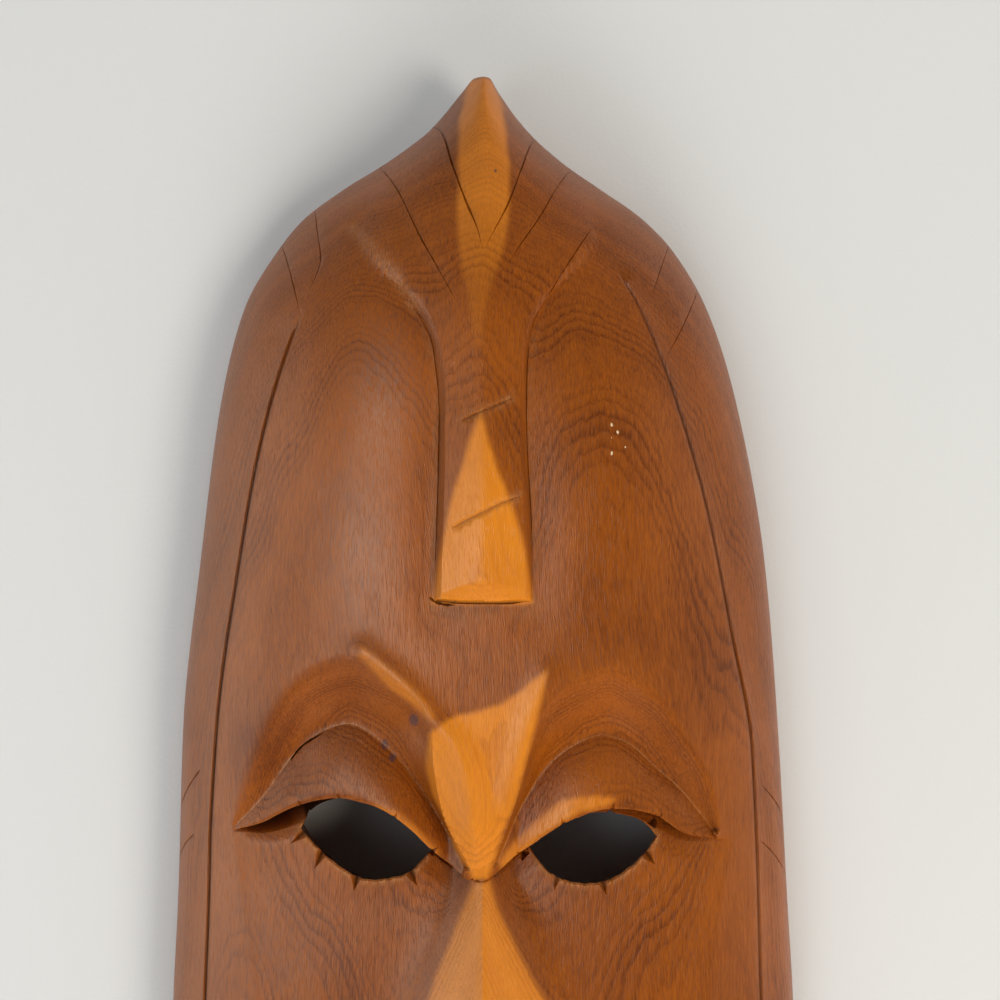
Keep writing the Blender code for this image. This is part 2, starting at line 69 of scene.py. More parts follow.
# Height of the plain dome along the middle: (down, up).
CROWN = [
    (0.0, 20.6), (4.0, 25.0), (10.0, 28.5), (22.0, 33.0), (45.0, 39.0), (75.0, 44.0), (115.0, 47.2),
    (155.0, 48.4), (196.0, 46.5), (255.0, 46.0), (305.0, 45.5), (352.0, 42.5), (381.0, 38.0),
    (400.0, 31.0), (412.0, 22.5), (420.0, 9.0),
]
DOME_FALL = 2.1
DOME_ROUND = 1.8
PROW_FALL = 1.3
PROW_ROUND = 1.15
PROW_ENDS = 90.0
PROW_SOFT = 0.08

# The edge: its widest line is above the flat rim, and under the tip the rim rises like a bow.
EDGE_UP = 8.0
TIP_EDGE_UP = 4.0
TIP_LIFT = 16.0
TIP_LIFT_LENGTH = 30.0
RIM_TUCK = 2.4

# The crest: half widths (down, left, right), and how far its ridge and its edges stand out (down, up).
CREST = [
    (0.0, 12.0, 12.0), (41.7, 31.0, 28.0), (57.6, 19.2, 17.0), (64.0, 14.4, 13.4), (72.3, 11.4, 10.9),
    (84.1, 10.3, 10.2), (96.0, 10.3, 10.4), (112.7, 10.7, 11.4), (131.7, 11.4, 11.8),
]
RIDGE_OUT = [(0.0, 0.6), (15.7, 2.2), (40.7, 3.4), (71.7, 3.6), (105.7, 4.4), (131.7, 4.6)]
CREST_EDGE_OUT = [(39.0, 0.0), (48.0, 0.8), (71.7, 1.3), (131.7, 1.8)]
RIDGE_SOFT = 1.5
CREST_END = 131.7
CREST_SIDE = 0.7
CREST_END_BEVEL = 4.2
CREST_END_BOW = 0.4
CREST_BEVEL_GAP = 0.2
CREST_END_LOW = 1.6
CREST_END_DROP = 0.8
CREST_END_SHARP = 0.9
RIDGE_FLAT = 0.6
VALLEY_DEEP = 0.8
VALLEY_WIDE = 6.0
VALLEY_STARTS = (44.0, 66.0)
VALLEY_FADE = 14.0
LOBE_OUT = 1.6
LOBE_PLACE = (33.0, 98.0)
LOBE_SIZE = (15.0, 36.0)

# The long groove on each side, as a share of the half width: (down, left, right).
GROOVE = [
    (0.0, 0.60, 0.55), (48.7, 0.66, 0.60), (61.7, 0.70, 0.65), (84.3, 0.758, 0.717),
    (105.7, 0.795, 0.763), (140.5, 0.827, 0.818), (170.7, 0.845, 0.870), (195.7, 0.857, 0.872),
    (233.7, 0.856, 0.860), (315.7, 0.845, 0.845), (355.7, 0.81, 0.81), (385.7, 0.745, 0.745),
    (405.7, 0.62, 0.62), (420.0, 0.5, 0.5),
]
GROOVE_STARTS = (60.0, 49.0)
GROOVE_ENDS = 392.0
GROOVE_RUN = (8.0, 10.0)
BAND_DROP = 0.7
BAND_SHARP = 1.5
BAND_FADE = (3.0, 12.0)

# The eyes. Each line runs from the outer corner to the inner one: (across, down).
EYES = {
    "left": {
        "brow": [
            (-62.0, 187.7), (-61.0, 179.3), (-57.1, 166.5), (-51.9, 156.5), (-44.2, 148.4),
            (-36.0, 144.7), (-28.5, 143.9), (-19.8, 150.7), (-12.8, 159.3), (-11.6, 171.7),
            (-9.1, 183.9), (-2.7, 196.5),
        ],
        "crease": [
            (-61.6, 188.5), (-54.1, 180.8), (-47.2, 171.1), (-40.1, 164.8), (-31.9, 162.7),
            (-23.8, 167.6), (-16.5, 176.0), (-10.5, 185.6), (-4.7, 196.6),
        ],
        "margin": [
            (-61.8, 189.5), (-54.4, 187.1), (-46.9, 183.1), (-38.0, 180.3), (-33.0, 180.1),
            (-25.3, 182.4), (-17.4, 187.6), (-11.4, 193.5), (-4.7, 198.7),
        ],
        "hole": [
            (-44.6, 188.2, 188.2), (-42.9, 185.1, 190.3), (-36.4, 181.6, 196.3), (-29.9, 181.6, 199.9),
            (-23.8, 183.6, 200.2), (-17.6, 188.1, 198.3), (-12.7, 193.5, 193.5),
        ],
        "under": [(4.0, 0.3), (11.0, 1.8), (40.0, 4.6), (47.0, 4.2), (54.0, 2.2), (61.0, 0.0)],
    },
    "right": {
        "brow": [
            (58.4, 188.7), (57.0, 177.7), (50.6, 165.7), (45.4, 156.6), (38.8, 150.2), (32.6, 147.3),
            (26.4, 147.6), (20.4, 151.2), (14.6, 157.4), (11.8, 165.2), (8.7, 176.6), (4.0, 191.3),
            (1.6, 196.7),
        ],
        "crease": [
            (57.0, 189.9), (52.4, 183.8), (47.4, 178.0), (42.2, 173.5), (35.3, 167.3), (29.0, 165.2),
            (21.8, 167.6), (16.2, 172.0), (9.6, 181.7), (3.4, 195.1),
        ],
        "margin": [
            (57.2, 191.3), (49.4, 189.5), (41.7, 184.5), (33.6, 182.6), (26.2, 183.1), (17.4, 187.6),
            (10.7, 192.0), (2.3, 198.2),
        ],
        "hole": [
            (42.4, 190.3, 190.3), (39.9, 187.3, 193.7), (33.6, 184.9, 199.0), (27.8, 184.4, 201.2),
            (21.5, 185.7, 200.9), (15.6, 189.2, 198.3), (11.1, 192.9, 192.9),
        ],
        "under": [(2.0, 0.3), (9.0, 1.8), (36.0, 2.6), (43.0, 2.4), (50.0, 1.2), (56.0, 0.0)],
    },
}
SOCKET_DEEP = [
    (1.5, 0.2), (3.0, 0.9), (6.0, 4.2), (9.0, 7.4), (15.0, 8.4), (32.0, 8.4), (42.0, 7.4), (50.0, 5.0),
    (57.0, 2.2), (62.0, 0.3),
]
LID_OUT = [
    (2.0, 0.1), (5.0, 0.8), (12.0, 3.6), (22.0, 5.4), (34.0, 5.4), (46.0, 3.8), (56.0, 1.4), (61.0, 0.3),
]
UNDER_LID_REACH = [(0.0, 4.0), (30.0, 7.5), (46.0, 6.5), (61.0, 1.8)]
RIM_SOFT = 0.9
RIM_SOFT_FROM = (13.0, 27.0)
LID_ROUND = 0.9
MARGIN_SOFT = 0.3
LIP_ROUND = 0.4
LIP_WIDE = 1.1
LIP_FADE = ((2.0, 12.0), (50.0, 60.0))
EYE_OUTER = 62.0

# The cut under each upper lid: (across from the middle, width, depth below the face, how dark its old wax
# and painted shade are).
LID_CUT = {
    "left": [
        (0.0, 1.5, 0.1, 0.1), (4.7, 1.7, 0.15, 0.15), (8.0, 2.0, 0.25, 0.25), (12.0, 2.3, 0.4, 0.4),
        (14.0, 2.6, 0.8, 0.7), (40.0, 3.6, 1.6, 1.0), (45.0, 4.6, 3.0, 1.0), (50.0, 4.1, 3.0, 1.0),
        (55.0, 2.7, 2.2, 0.95), (59.0, 1.2, 0.8, 0.6), (62.0, 0.5, 0.1, 0.2),
    ],
    "right": [
        (0.0, 1.5, 0.1, 0.1), (4.7, 1.7, 0.15, 0.15), (8.0, 2.0, 0.25, 0.2), (12.0, 2.3, 0.4, 0.3),
        (14.0, 2.6, 0.6, 0.5), (40.0, 2.8, 0.7, 0.5), (45.0, 2.6, 0.8, 0.45), (50.0, 1.9, 0.5, 0.35),
        (55.0, 1.0, 0.2, 0.2), (57.5, 0.5, 0.05, 0.1),
    ],
}
LID_SPARE = (0.55, 0.25)
# How dark the walls of each eye hole are painted, as shade.
HOLE_WALL_SHADE = {"left": 0.75, "right": 0.5}
# How dark the nicks round each eye are painted, as shade.
LASH_SHADE = {"left": 0.6, "right": 0.4}
# How an eye hole widens: at the back, a little below its rim, and in the small chamfer of the rim.
HOLE_FLARE = 3.0
HOLE_BACK = (-5.0, 18.0)
HOLE_BEVEL = (8.0, 2.4)
HOLE_CHAMFER = (1.0, 0.9)
HOLE_RIM_SINK = 0.5
# Whatever lies this far below both faces belongs to the back.
BACK_DEEP = 18.0
ABOVE_ALL = 80.0

# The bridge of the nose and the brow ridges that run into it.
BRIDGE_LEFT = [
    (-28.5, 144.2), (-20.0, 151.0), (-12.6, 159.5), (-6.7, 165.9), (-3.1, 176.7), (-1.2, 195.7),
]
BRIDGE_RIGHT = [(15.4, 149.7), (12.0, 157.7), (8.0, 170.7), (3.5, 185.7), (0.6, 196.7)]
BRIDGE_OUT = (1.35, 1.0)
BRIDGE_WIDE = 3.4
BRIDGE_FADE = (184.0, 197.0)
RIDGE_LINE = [(158.0, -12.0), (166.0, -7.0), (176.7, -3.4), (184.0, -2.4), (197.5, -1.2)]
RIDGE_FACET = [(158.0, 0.0), (166.0, 0.6), (178.0, 1.1), (192.0, 1.3), (199.0, 0.4)]
FACET_WIDE = 5.5
FACET_FADE = (5.0, 9.0)
PINCH_DOWN = 197.5
PINCH_DEEP = 2.4
PINCH_SIZE = (14.0, 11.0)

# The cheeks are hollowed inwards from a soft edge: depth (down, mm) and the edge (down, across).
CHEEK_DEEP = [(191.7, 8.4), (225.7, 7.4), (255.7, 5.2), (283.7, 3.2), (320.7, 0.0)]
CHEEK_EDGE = [(188.7, 62.0), (227.7, 55.0), (267.7, 50.0), (320.7, 46.0)]
CHEEK_FROM = 170.0

# The nose: height of its ridge and the steepness of its sides, both by distance down.
NOSE_RIDGE = [
    (197.7, 44.2), (205.7, 47.2), (224.7, 53.0), (245.7, 58.5), (263.7, 63.2), (274.7, 65.6),
    (280.7, 65.2), (286.7, 61.0), (291.7, 53.5), (296.0, 44.0), (303.0, 26.0),
]
NOSE_ROUND = [(197.7, 0.7), (240.0, 1.0), (270.0, 3.0), (303.0, 4.0)]
NOSE_STEEP = [(197.7, 1.35), (212.7, 1.05), (226.7, 0.88), (250.7, 0.92), (267.7, 1.0), (295.7, 1.0)]
NOSE_TOP_SOFT, NOSE_FOOT_SOFT = 0.6, 4.0
NOSE_SOFTENS = 16.0
NOSE_START_STEEP = 1.2
NOSE_END = 303.0
FAR_BELOW = -50.0
WING_ACROSS = 14.0
WING_DOWN = 275.5
WING_SIZE = (9.0, 13.0)
WING_UP = 56.5
WING_FALL = 14.0
WING_SOFT = 3.0
NOSTRIL = (8.0, 287.5)
NOSTRIL_DEEP = 3.2
NOSTRIL_SIZE = (3.6, 3.2)

# The mouth and the chin.
MOUTH_DOWN = 324.0
MOUTH_HALF = 27.0
MOUTH_TAPER = 0.6
MOUTH_BOW = 1.8
LIP_FULL = (0.7, 0.8)
LIP_HIGH = (12.0, 14.0)
LIP_OUT = (6.2, 6.8)
MUZZLE_OUT = 3.0
MUZZLE_SIZE = (34.0, 26.0)
CHIN_DOWN = 373.0
CHIN_OUT = 3.4
CHIN_SIZE = (24.0, 20.0)
FOLD_DOWN = 348.5
FOLD_DEEP = 2.4
FOLD_SIZE = (28.0, 8.0)

# The hollow in the back: where it starts and ends, the width of the flat rim, and its height (down, up).
HOLLOW_FROM = 33.0
HOLLOW_TO = 408.0
RIM_WIDE = 11.0
HOLLOW_UP = [
    (33.0, 4.0), (50.0, 19.0), (75.0, 26.5), (115.0, 31.0), (155.0, 32.0), (196.0, 31.0), (265.0, 31.5),
    (315.0, 31.0), (352.0, 28.5), (382.0, 23.0), (400.0, 14.0), (408.0, 4.0),
]
HOLLOW_END_ROUND = 26.0
HOLLOW_FALL = 2.2
HOLLOW_ROUND = 1.9
# The gouge's lanes wander from side to side by a share of a lane, and its strokes start out of step.
LANE_WANDER = (0.35, 31.0)
STROKE_LONG = 46.0
STROKE_SHIFT = 0.37
STROKE_WANDER = (0.2, 5.0)
BELOW_BACK = -6.0

# Cuts of the knife, each drawn as (across, down) from its wide end, with its width and depth in mm and how
# dark the old wax and the painted shade in it are.
KNIFE_START, KNIFE_END = (0.12, 0.35), (0.25, 0.12)
KNIFE_UNEVEN = (0.16, 0.1)
STRANDS = {
    "first_left": (
        [
            (-16.5, 6.6), (-13.4, 10.6), (-10.8, 14.6), (-7.7, 25.1), (-4.4, 34.8), (-1.2, 42.9),
            (-0.2, 47.4),
        ],
        0.6, 0.65, 0.4,
    ),
    "first_right": (
        [(16.6, 9.6), (13.4, 14.2), (11.6, 18.4), (9.9, 24.4), (5.9, 36.2), (3.1, 42.0), (0.5, 47.0)],
        0.5, 0.5, 0.4,
    ),
    "second_left": (
        [
            (-32.6, 15.0), (-29.0, 19.2), (-25.9, 23.4), (-21.4, 30.7), (-15.4, 43.7), (-10.3, 53.0),
            (-6.7, 59.7),
        ],
        0.45, 0.4, 0.3,
    ),
    "second_right": (
        [(27.2, 16.8), (23.8, 21.2), (20.9, 25.2), (17.9, 30.7), (13.7, 38.9), (8.8, 46.5), (5.9, 51.4)],
        0.4, 0.35, 0.22,
    ),
    "crest_left": (
        [
            (-16.6, 61.5), (-14.1, 65.7), (-12.4, 69.4), (-11.4, 75.0), (-10.5, 84.1), (-10.5, 96.0),
            (-10.9, 112.7), (-11.5, 128.0),
        ],
        0.4, 0.3, 0.16,
    ),
    "crest_right": (
        [
            (28.5, 38.3), (25.0, 43.3), (21.6, 48.9), (18.0, 54.6), (14.9, 60.1), (12.4, 64.4),
            (11.0, 71.0), (10.4, 84.1), (10.6, 96.0), (11.5, 112.7), (12.0, 128.0),
        ],
        0.4, 0.3, 0.16,
    ),
    "crest_foot": (
        [(-12.0, 131.7), (-6.0, 132.3), (0.0, 132.4), (6.0, 132.4), (12.2, 131.8)], 0.7, 0.5, 0.7,
    ),
    "crest_foot_corner": ([(-12.6, 131.0), (-11.6, 131.9), (-9.4, 132.6), (-6.5, 132.8)], 0.8, 0.6, 0.5),
    "fork_left": ([(-54.6, 38.6), (-52.1, 43.1), (-49.2, 50.0), (-45.5, 61.6)], 0.4, 0.35, 0.35),
    "fork_left_inner": ([(-44.6, 30.4), (-42.4, 40.0), (-40.9, 48.3), (-43.4, 56.0)], 0.35, 0.3, 0.3),
    "fork_right": ([(49.4, 38.6), (46.6, 45.0), (42.2, 56.2)], 0.35, 0.3, 0.3),
    "fork_right_outer": ([(57.2, 50.0), (53.0, 58.6), (48.8, 66.6), (45.7, 71.8)], 0.35, 0.3, 0.25),
    "nick_left": ([(-71.8, 176.1), (-75.8, 181.5), (-79.2, 187.7)], 0.5, 0.35, 0.35),
    "nick_left_low": ([(-73.7, 192.8), (-77.0, 196.5), (-79.7, 201.3)], 0.5, 0.35, 0.35),
    "nick_right": ([(70.8, 180.5), (74.5, 184.8), (77.7, 189.8)], 0.45, 0.35, 0.35),
    "nick_right_low": ([(70.3, 194.2), (74.6, 199.0), (78.3, 204.5)], 0.45, 0.35, 0.35),
    "gouge_upper": ([(-5.0, 89.0), (-1.9, 87.6), (1.6, 86.1), (6.8, 83.7)], 1.4, 0.45, 0.22),
    "gouge_lower": (
        [(-7.3, 114.5), (-3.5, 112.4), (0.5, 110.5), (4.0, 108.8), (8.7, 107.0)], 1.7, 0.5, 0.22,
    ),
    "inner_left": ([(-13.6, 192.6), (-11.0, 194.9), (-7.6, 197.4), (-4.2, 199.4)], 0.45, 0.4, 0.75),
    "inner_right": ([(11.6, 192.0), (8.6, 194.1), (5.2, 196.6), (2.0, 198.8)], 0.45, 0.4, 0.6),
    "bridge_end": ([(-3.4, 199.0), (-0.6, 199.2), (2.4, 198.8)], 0.35, 0.25, 0.4),
    "crack": (
        [(-47.4, 171.8), (-45.9, 169.8), (-43.9, 167.8), (-41.6, 166.3), (-39.3, 165.0)], 0.6, 0.8, 0.95,
    ),
}
# The small pointed nicks cut round the eyes like lashes: (across, down) at the lid, then at the point.
LASH_RUN = (-0.5, 0.85)
LASH_WIDE, LASH_DEEP, LASH_LIFT = 2.5, 1.7, 1.6
LASHES = [
    ((-43.6, 183.6), (-45.4, 180.6)), ((-34.2, 181.4), (-35.4, 178.2)), ((-21.8, 185.0), (-20.4, 182.6)),
    ((-12.6, 193.1), (-10.6, 191.6)), ((-44.6, 189.8), (-47.4, 192.2)), ((-39.9, 195.0), (-41.4, 198.4)),
    ((-31.0, 200.4), (-31.6, 203.6)), ((-17.4, 199.4), (-15.9, 202.2)), ((9.6, 194.5), (7.8, 192.8)),
    ((19.5, 186.2), (18.7, 183.9)), ((31.2, 183.4), (31.6, 180.6)), ((42.0, 186.4), (44.0, 183.8)),
    ((17.9, 199.6), (17.3, 203.4)), ((29.2, 201.4), (30.1, 204.4)), ((40.4, 195.0), (42.2, 197.2)),
]

# Where the pale sapwood shows, as closed outlines: (across, down), and how pale each of them is.
SAPWOOD = {
    "crest_top": [
        (-3.6, 0.5), (-4.9, 5.0), (-5.8, 12.5), (-6.2, 23.2), (-5.9, 30.8), (-6.1, 36.0), (-6.2, 40.7),
        (-5.4, 49.2), (-4.1, 55.4), (-2.9, 62.6), (-1.6, 70.6), (-0.6, 70.6), (0.7, 62.6), (1.8, 57.4),
        (3.4, 52.0), (5.4, 46.2), (6.4, 39.9), (6.2, 33.0), (6.2, 25.3), (5.9, 16.3), (4.7, 7.7),
        (1.9, 1.0),
    ],
    "crest_foot": [
        (-0.7, 87.4), (-2.6, 92.6), (-4.5, 98.5), (-6.6, 105.5), (-8.5, 112.6), (-10.2, 120.9),
        (-11.2, 126.9), (-12.0, 132.4), (12.0, 132.4), (11.3, 126.9), (10.1, 119.7), (8.0, 112.6),
        (5.9, 106.7), (3.5, 99.6), (1.4, 93.3), (-0.2, 87.8),
    ],
    "bridge": [
        (-13.1, 167.0), (-12.6, 163.5), (-9.0, 160.3), (-5.5, 158.8), (-0.7, 157.8), (4.0, 156.4),
        (8.7, 153.3), (12.3, 150.4), (15.3, 148.1), (13.7, 155.1), (11.8, 164.6), (10.2, 170.6),
        (8.7, 176.6), (5.9, 183.8), (3.3, 191.4), (1.1, 198.5), (-2.3, 198.8), (-3.7, 196.1),
        (-6.9, 191.7), (-9.1, 184.1), (-11.9, 178.9), (-13.2, 172.6),
    ],
    "nose": [
        (-2.6, 199.4), (1.6, 199.1), (3.3, 204.9), (5.9, 210.9), (9.3, 218.2), (12.2, 223.1),
        (14.8, 228.1), (17.5, 240.0), (18.5, 255.0), (16.5, 272.0), (10.0, 285.0), (0.0, 290.0),
        (-9.5, 285.0), (-16.0, 272.0), (-17.6, 255.0), (-16.4, 240.0), (-13.3, 227.8), (-11.4, 221.9),
        (-9.2, 217.1), (-6.6, 211.1), (-4.2, 205.2),
    ],
    "left_lid": [
        (-26.1, 181.0), (-23.4, 181.5), (-20.0, 183.6), (-16.5, 186.3), (-13.4, 189.4), (-10.4, 193.0),
        (-11.4, 193.8), (-14.4, 191.4), (-17.5, 188.6), (-21.0, 185.6), (-24.4, 183.4),
    ],
    "right_lid": [
        (4.0, 195.0), (6.9, 191.5), (10.8, 187.7), (14.9, 183.2), (18.5, 180.2), (23.2, 179.1),
        (28.1, 179.2), (31.8, 180.3), (28.1, 182.0), (23.2, 183.3), (18.4, 186.0), (13.6, 189.4),
        (8.8, 193.6), (4.6, 197.2),
    ],
    "left_brow": [
        (-28.7, 143.0), (-26.3, 144.3), (-20.8, 148.5), (-17.2, 151.6), (-13.7, 155.1), (-11.6, 157.9),
        (-11.1, 160.2), (-13.5, 158.9), (-17.3, 155.8), (-21.7, 152.6), (-26.5, 147.9), (-29.2, 144.7),
    ],
}

# The line of sapwood on the crest grows faint and comes back.
SAP_FAINT = 0.75
SAP_FAINT_FROM, SAP_FAINT_TO = (30.0, 66.0), (72.0, 84.0)
FAR_OUTSIDE = -8.0
SAP_STRENGTH = {
    "crest_top": 0.72, "crest_foot": 1.0, "bridge": 0.95, "nose": 1.0, "left_lid": 0.55,
    "right_lid": 0.8, "left_brow": 0.5,
}
# How fuzzy the tools left the wood at each place, and how far below the lids' edges the holes' rims are so.
FUZZ = {"beside_crest": 0.35, "crest_foot": 0.6, "pale_stroke": 0.75, "gouge": 0.8, "hole_rim": 1.2}
FUZZ_BELOW_LID = 3.4
# A shallow pale stroke left of the crest, and the small stains and chips: (across, down, radius).
PALE_STROKE = [(-33.0, 39.8), (-29.4, 43.6), (-25.3, 48.2), (-22.2, 52.5), (-19.5, 57.0), (-16.6, 61.5)]
STROKE_HALF, STROKE_DEEP = 1.9, 0.22
STAINS = [(-16.5, 160.4, 1.45), (-23.9, 167.3, 1.15), (-22.0, 170.4, 1.0), (3.0, 27.5, 0.4)]
CHIPS = [
    (30.9, 89.9, 0.38), (32.3, 91.6, 0.34), (30.8, 96.7, 0.36), (34.2, 95.2, 0.2), (30.8, 93.0, 0.16),
]
# Painted light and shade: soft patches painted darker where the face lies in shade and lighter where it
# catches the light: (across, down, radius, how much darker).
PAINTED_LIGHT_SHADE = [
    (-54.0, 170.0, 9.0, 0.42), (-44.0, 216.0, 24.0, 0.26), (27.0, 220.0, 11.0, 0.12),
    (28.0, 174.0, 9.0, -0.30), (30.0, 154.0, 9.0, -0.28), (-23.0, 92.0, 10.0, -0.30),
    (-6.0, 78.0, 9.0, -0.25), (6.0, 78.0, 8.0, -0.18), (72.0, 205.0, 22.0, -0.26),
    (-72.0, 214.0, 22.0, -0.26), (48.0, 66.0, 14.0, 0.12), (-34.0, 175.0, 8.0, 0.20),
    (-33.0, 153.0, 8.0, 0.25), (-48.0, 160.0, 7.0, 0.25), (47.0, 146.0, 16.0, 0.20),
    (-36.0, 45.0, 15.0, 0.12), (38.0, 45.0, 15.0, 0.15), (0.0, 12.0, 22.0, 0.28),
]
# Painted sheen: pale patches painted where the face catches the light: (across, down, half width, half
# length, how pale).
PAINTED_SHEEN = [
    (-24.5, 86.0, 8.0, 16.0, 0.34), (-29.5, 121.0, 9.0, 19.0, 0.20), (-66.0, 120.0, 10.0, 60.0, 0.08),
    (-52.0, 215.0, 16.0, 20.0, 0.12), (-12.0, 232.0, 7.0, 18.0, 0.12),
]


def blend(low, high, value):
    share = np.clip((value - low) / (high - low), 0.0, 1.0)
    return share * share * (3.0 - 2.0 * share)


def through(stations, where, loose=False):
    """A smooth line through (place, value) stations. Unless it is loose it never swings past them."""
    place, value = np.array(stations, float).T
    step = np.diff(place)
    rise = np.diff(value) / step
    slope = np.concatenate([rise[:1], rise[1:], rise[-1:]])
    if loose:
        slope[1:-1] = (rise[1:] + rise[:-1]) / 2.0
    else:
        same = rise[1:] * rise[:-1] > 0.0
        total = np.where(same, rise[1:] + rise[:-1], 1.0)
        slope[1:-1] = np.where(same, 2.0 * rise[1:] * rise[:-1] / total, 0.0)
    where = np.clip(where, place[0], place[-1])
    at = np.clip(np.searchsorted(place, where, side="right") - 1, 0, len(step) - 1)
    t = (where - place[at]) / step[at]
    start = (1.0 + 2.0 * t) * (1.0 - t) ** 2 * value[at] + t * (1.0 - t) ** 2 * step[at] * slope[at]
    end = t * t * (3.0 - 2.0 * t) * value[at + 1] - t * t * (1.0 - t) * step[at] * slope[at + 1]
    return start + end


def turn(down):
    """The distance down as an angle, so that a line can leave the tip or the chin square on."""
    return np.arccos(1.0 - 2.0 * np.clip(down, 0.0, LENGTH) / LENGTH)


def turned(stations, where):
    return through([(turn(place), value) for place, value in stations], turn(where))


def column(stations, number):
    """One column of a table, each value with its place."""
    return [(row[0], row[number]) for row in stations]


def sided(stations, across, down, reader=through):
    """A value given for the left and for the right side."""
    return np.where(across < 0.0, reader(column(stations, 1), down), reader(column(stations, 2), down))


def drawn(points, count=None):
    """A drawn line through a few points, as short straight steps."""
    points = np.array(points, float)
    length = np.concatenate([[0.0], np.cumsum(np.hypot(*np.diff(points, axis=0).T))])
    where = np.linspace(0.0, length[-1], count or LINE_STEPS)
    across = through(np.column_stack([length, points[:, 0]]), where, loose=True)
    down = through(np.column_stack([length, points[:, 1]]), where, loose=True)
    return np.column_stack([across, down])


def apart(across, down, line):
    """The distance of every point from a drawn line."""
    best = np.full(np.shape(across), 1e9)
    for (ax, ad), (bx, bd) in zip(line[:-1], line[1:]):
        ex, ed = bx - ax, bd - ad
        t = np.clip(((across - ax) * ex + (down - ad) * ed) / (ex * ex + ed * ed), 0.0, 1.0)
        best = np.minimum(best, np.hypot(across - ax - t * ex, down - ad - t * ed))
    return best


def line_down(line, across):
    """How far down a drawn line runs at places across."""
    order = np.argsort(line[:, 0])
    return np.interp(across, line[order, 0], line[order, 1])


def square_to(line):
    """For every point of a line, the direction square to it."""
    along = np.gradient(line, axis=0)
    along /= np.linalg.norm(along, axis=1)[:, None]
    return np.column_stack([-along[:, 1], along[:, 0]])


def within(across, down, loop):
    """Whether every point is inside a closed loop."""
    inside = np.zeros(np.shape(across), bool)
    for (ax, ad), (bx, bd) in zip(loop, np.roll(loop, -1, axis=0)):
        if ad == bd:
            continue
        crosses = (ad > down) != (bd > down)
        inside ^= crosses & (across < (bx - ax) * (down - ad) / (bd - ad) + ax)
    return inside


def larger(one, other, soft):
    """The larger of two heights, with a soft meeting line."""
    return 0.5 * (one + other + np.sqrt((one - other) ** 2 + soft * soft))


def swell(off_across, off_down, size):
    """A round swelling, 1 at its middle and falling away over its size across and down."""
    return np.exp(-((off_across / size[0]) ** 2) - (off_down / size[1]) ** 2)


def half_width(across, down):
    return sided(OUTLINE, across, down, turned)


def rim_up(down):
    """The height of the flat rim: on the table, and rising under the tip."""
    return TIP_LIFT * np.clip(1.0 - down / TIP_LIFT_LENGTH, 0.0, 1.0) ** 2


def edge_up(down):
    """The height of the widest line of the edge."""
    return rim_up(down) + TIP_EDGE_UP + (EDGE_UP - TIP_EDGE_UP) * blend(0.0, TIP_LIFT_LENGTH, down)


def dome(across, down):
    share = np.clip(np.abs(across) / half_width(across, down), 0.0, 1.0)
    share = (np.sqrt(share * share + PROW_SOFT**2) - PROW_SOFT) / (np.sqrt(1.0 + PROW_SOFT**2) - PROW_SOFT)
    full = blend(0.0, PROW_ENDS, down)
    fall = PROW_FALL + (DOME_FALL - PROW_FALL) * full
    rounded = PROW_ROUND + (DOME_ROUND - PROW_ROUND) * full
    section = (1.0 - share**fall) ** (1.0 / rounded)
    low = edge_up(down)
    return low + (turned(CROWN, down) - low) * section


def groove_across(across, down):
    return half_width(across, down) * sided(GROOVE, across, down)


def groove_fade(across, down):
    start = np.where(across < 0.0, *GROOVE_STARTS)
    end = blend(GROOVE_ENDS - GROOVE_RUN[1], GROOVE_ENDS, down)
    return blend(start, start + GROOVE_RUN[0], down) * (1.0 - end)


def groove(across, down, wide, deep):
    """The cut along each side."""
    off = np.abs(across) - groove_across(across, down)
    return groove_fade(across, down) * deep * np.clip(1.0 - np.abs(off) * 2.0 / wide, 0.0, 1.0)


def band(across, down):
    """The band outside the groove lies a little lower."""
    off = np.abs(across) - groove_across(across, down)
    drop = groove_fade(across, down) * BAND_DROP
    return drop * blend(0.0, BAND_SHARP, off) * (1.0 - blend(*BAND_FADE, off))


def crest(across, down):
    """The ridged bar on the forehead, with the low valleys beside it."""
    half = sided(CREST, across, down)
    out = np.abs(across)
    ridge = through(RIDGE_OUT, down)
    edge = through(CREST_EDGE_OUT, down)
    end_line = CREST_END - CREST_END_BOW * (out / half) ** 2
    bevel_line = end_line - CREST_END_BEVEL * np.clip(1.0 - (out / half) ** 2, 0.0, 1.0) - CREST_BEVEL_GAP
    top = half - CREST_SIDE
    slope = np.clip(1.0 - (np.sqrt(out * out + RIDGE_SOFT**2) - RIDGE_FLAT) / top, 0.0, 1.0)
    roof = edge + (ridge - edge) * slope
    lowered = np.clip((down - bevel_line) / (end_line - bevel_line), 0.0, 1.0)
    roof = roof - (roof - CREST_END_LOW) * lowered * CREST_END_DROP
    side = np.clip((half - out) / CREST_SIDE, 0.0, 1.0)
    behind = 1.0 - np.clip((down - end_line) / CREST_END_SHARP, 0.0, 1.0)
    bar = np.where(out <= top, roof, edge * side) * behind
    valley = blend(*VALLEY_STARTS, down) * (1.0 - blend(CREST_END, CREST_END + VALLEY_FADE, down))
    near = np.exp(-(((out - half) / VALLEY_WIDE) ** 2)) * ((out > half - 1.0) | (down > end_line))
    lobe = LOBE_OUT * swell(out - LOBE_PLACE[0], down - LOBE_PLACE[1], LOBE_SIZE)
    return bar - VALLEY_DEEP * valley * near + lobe


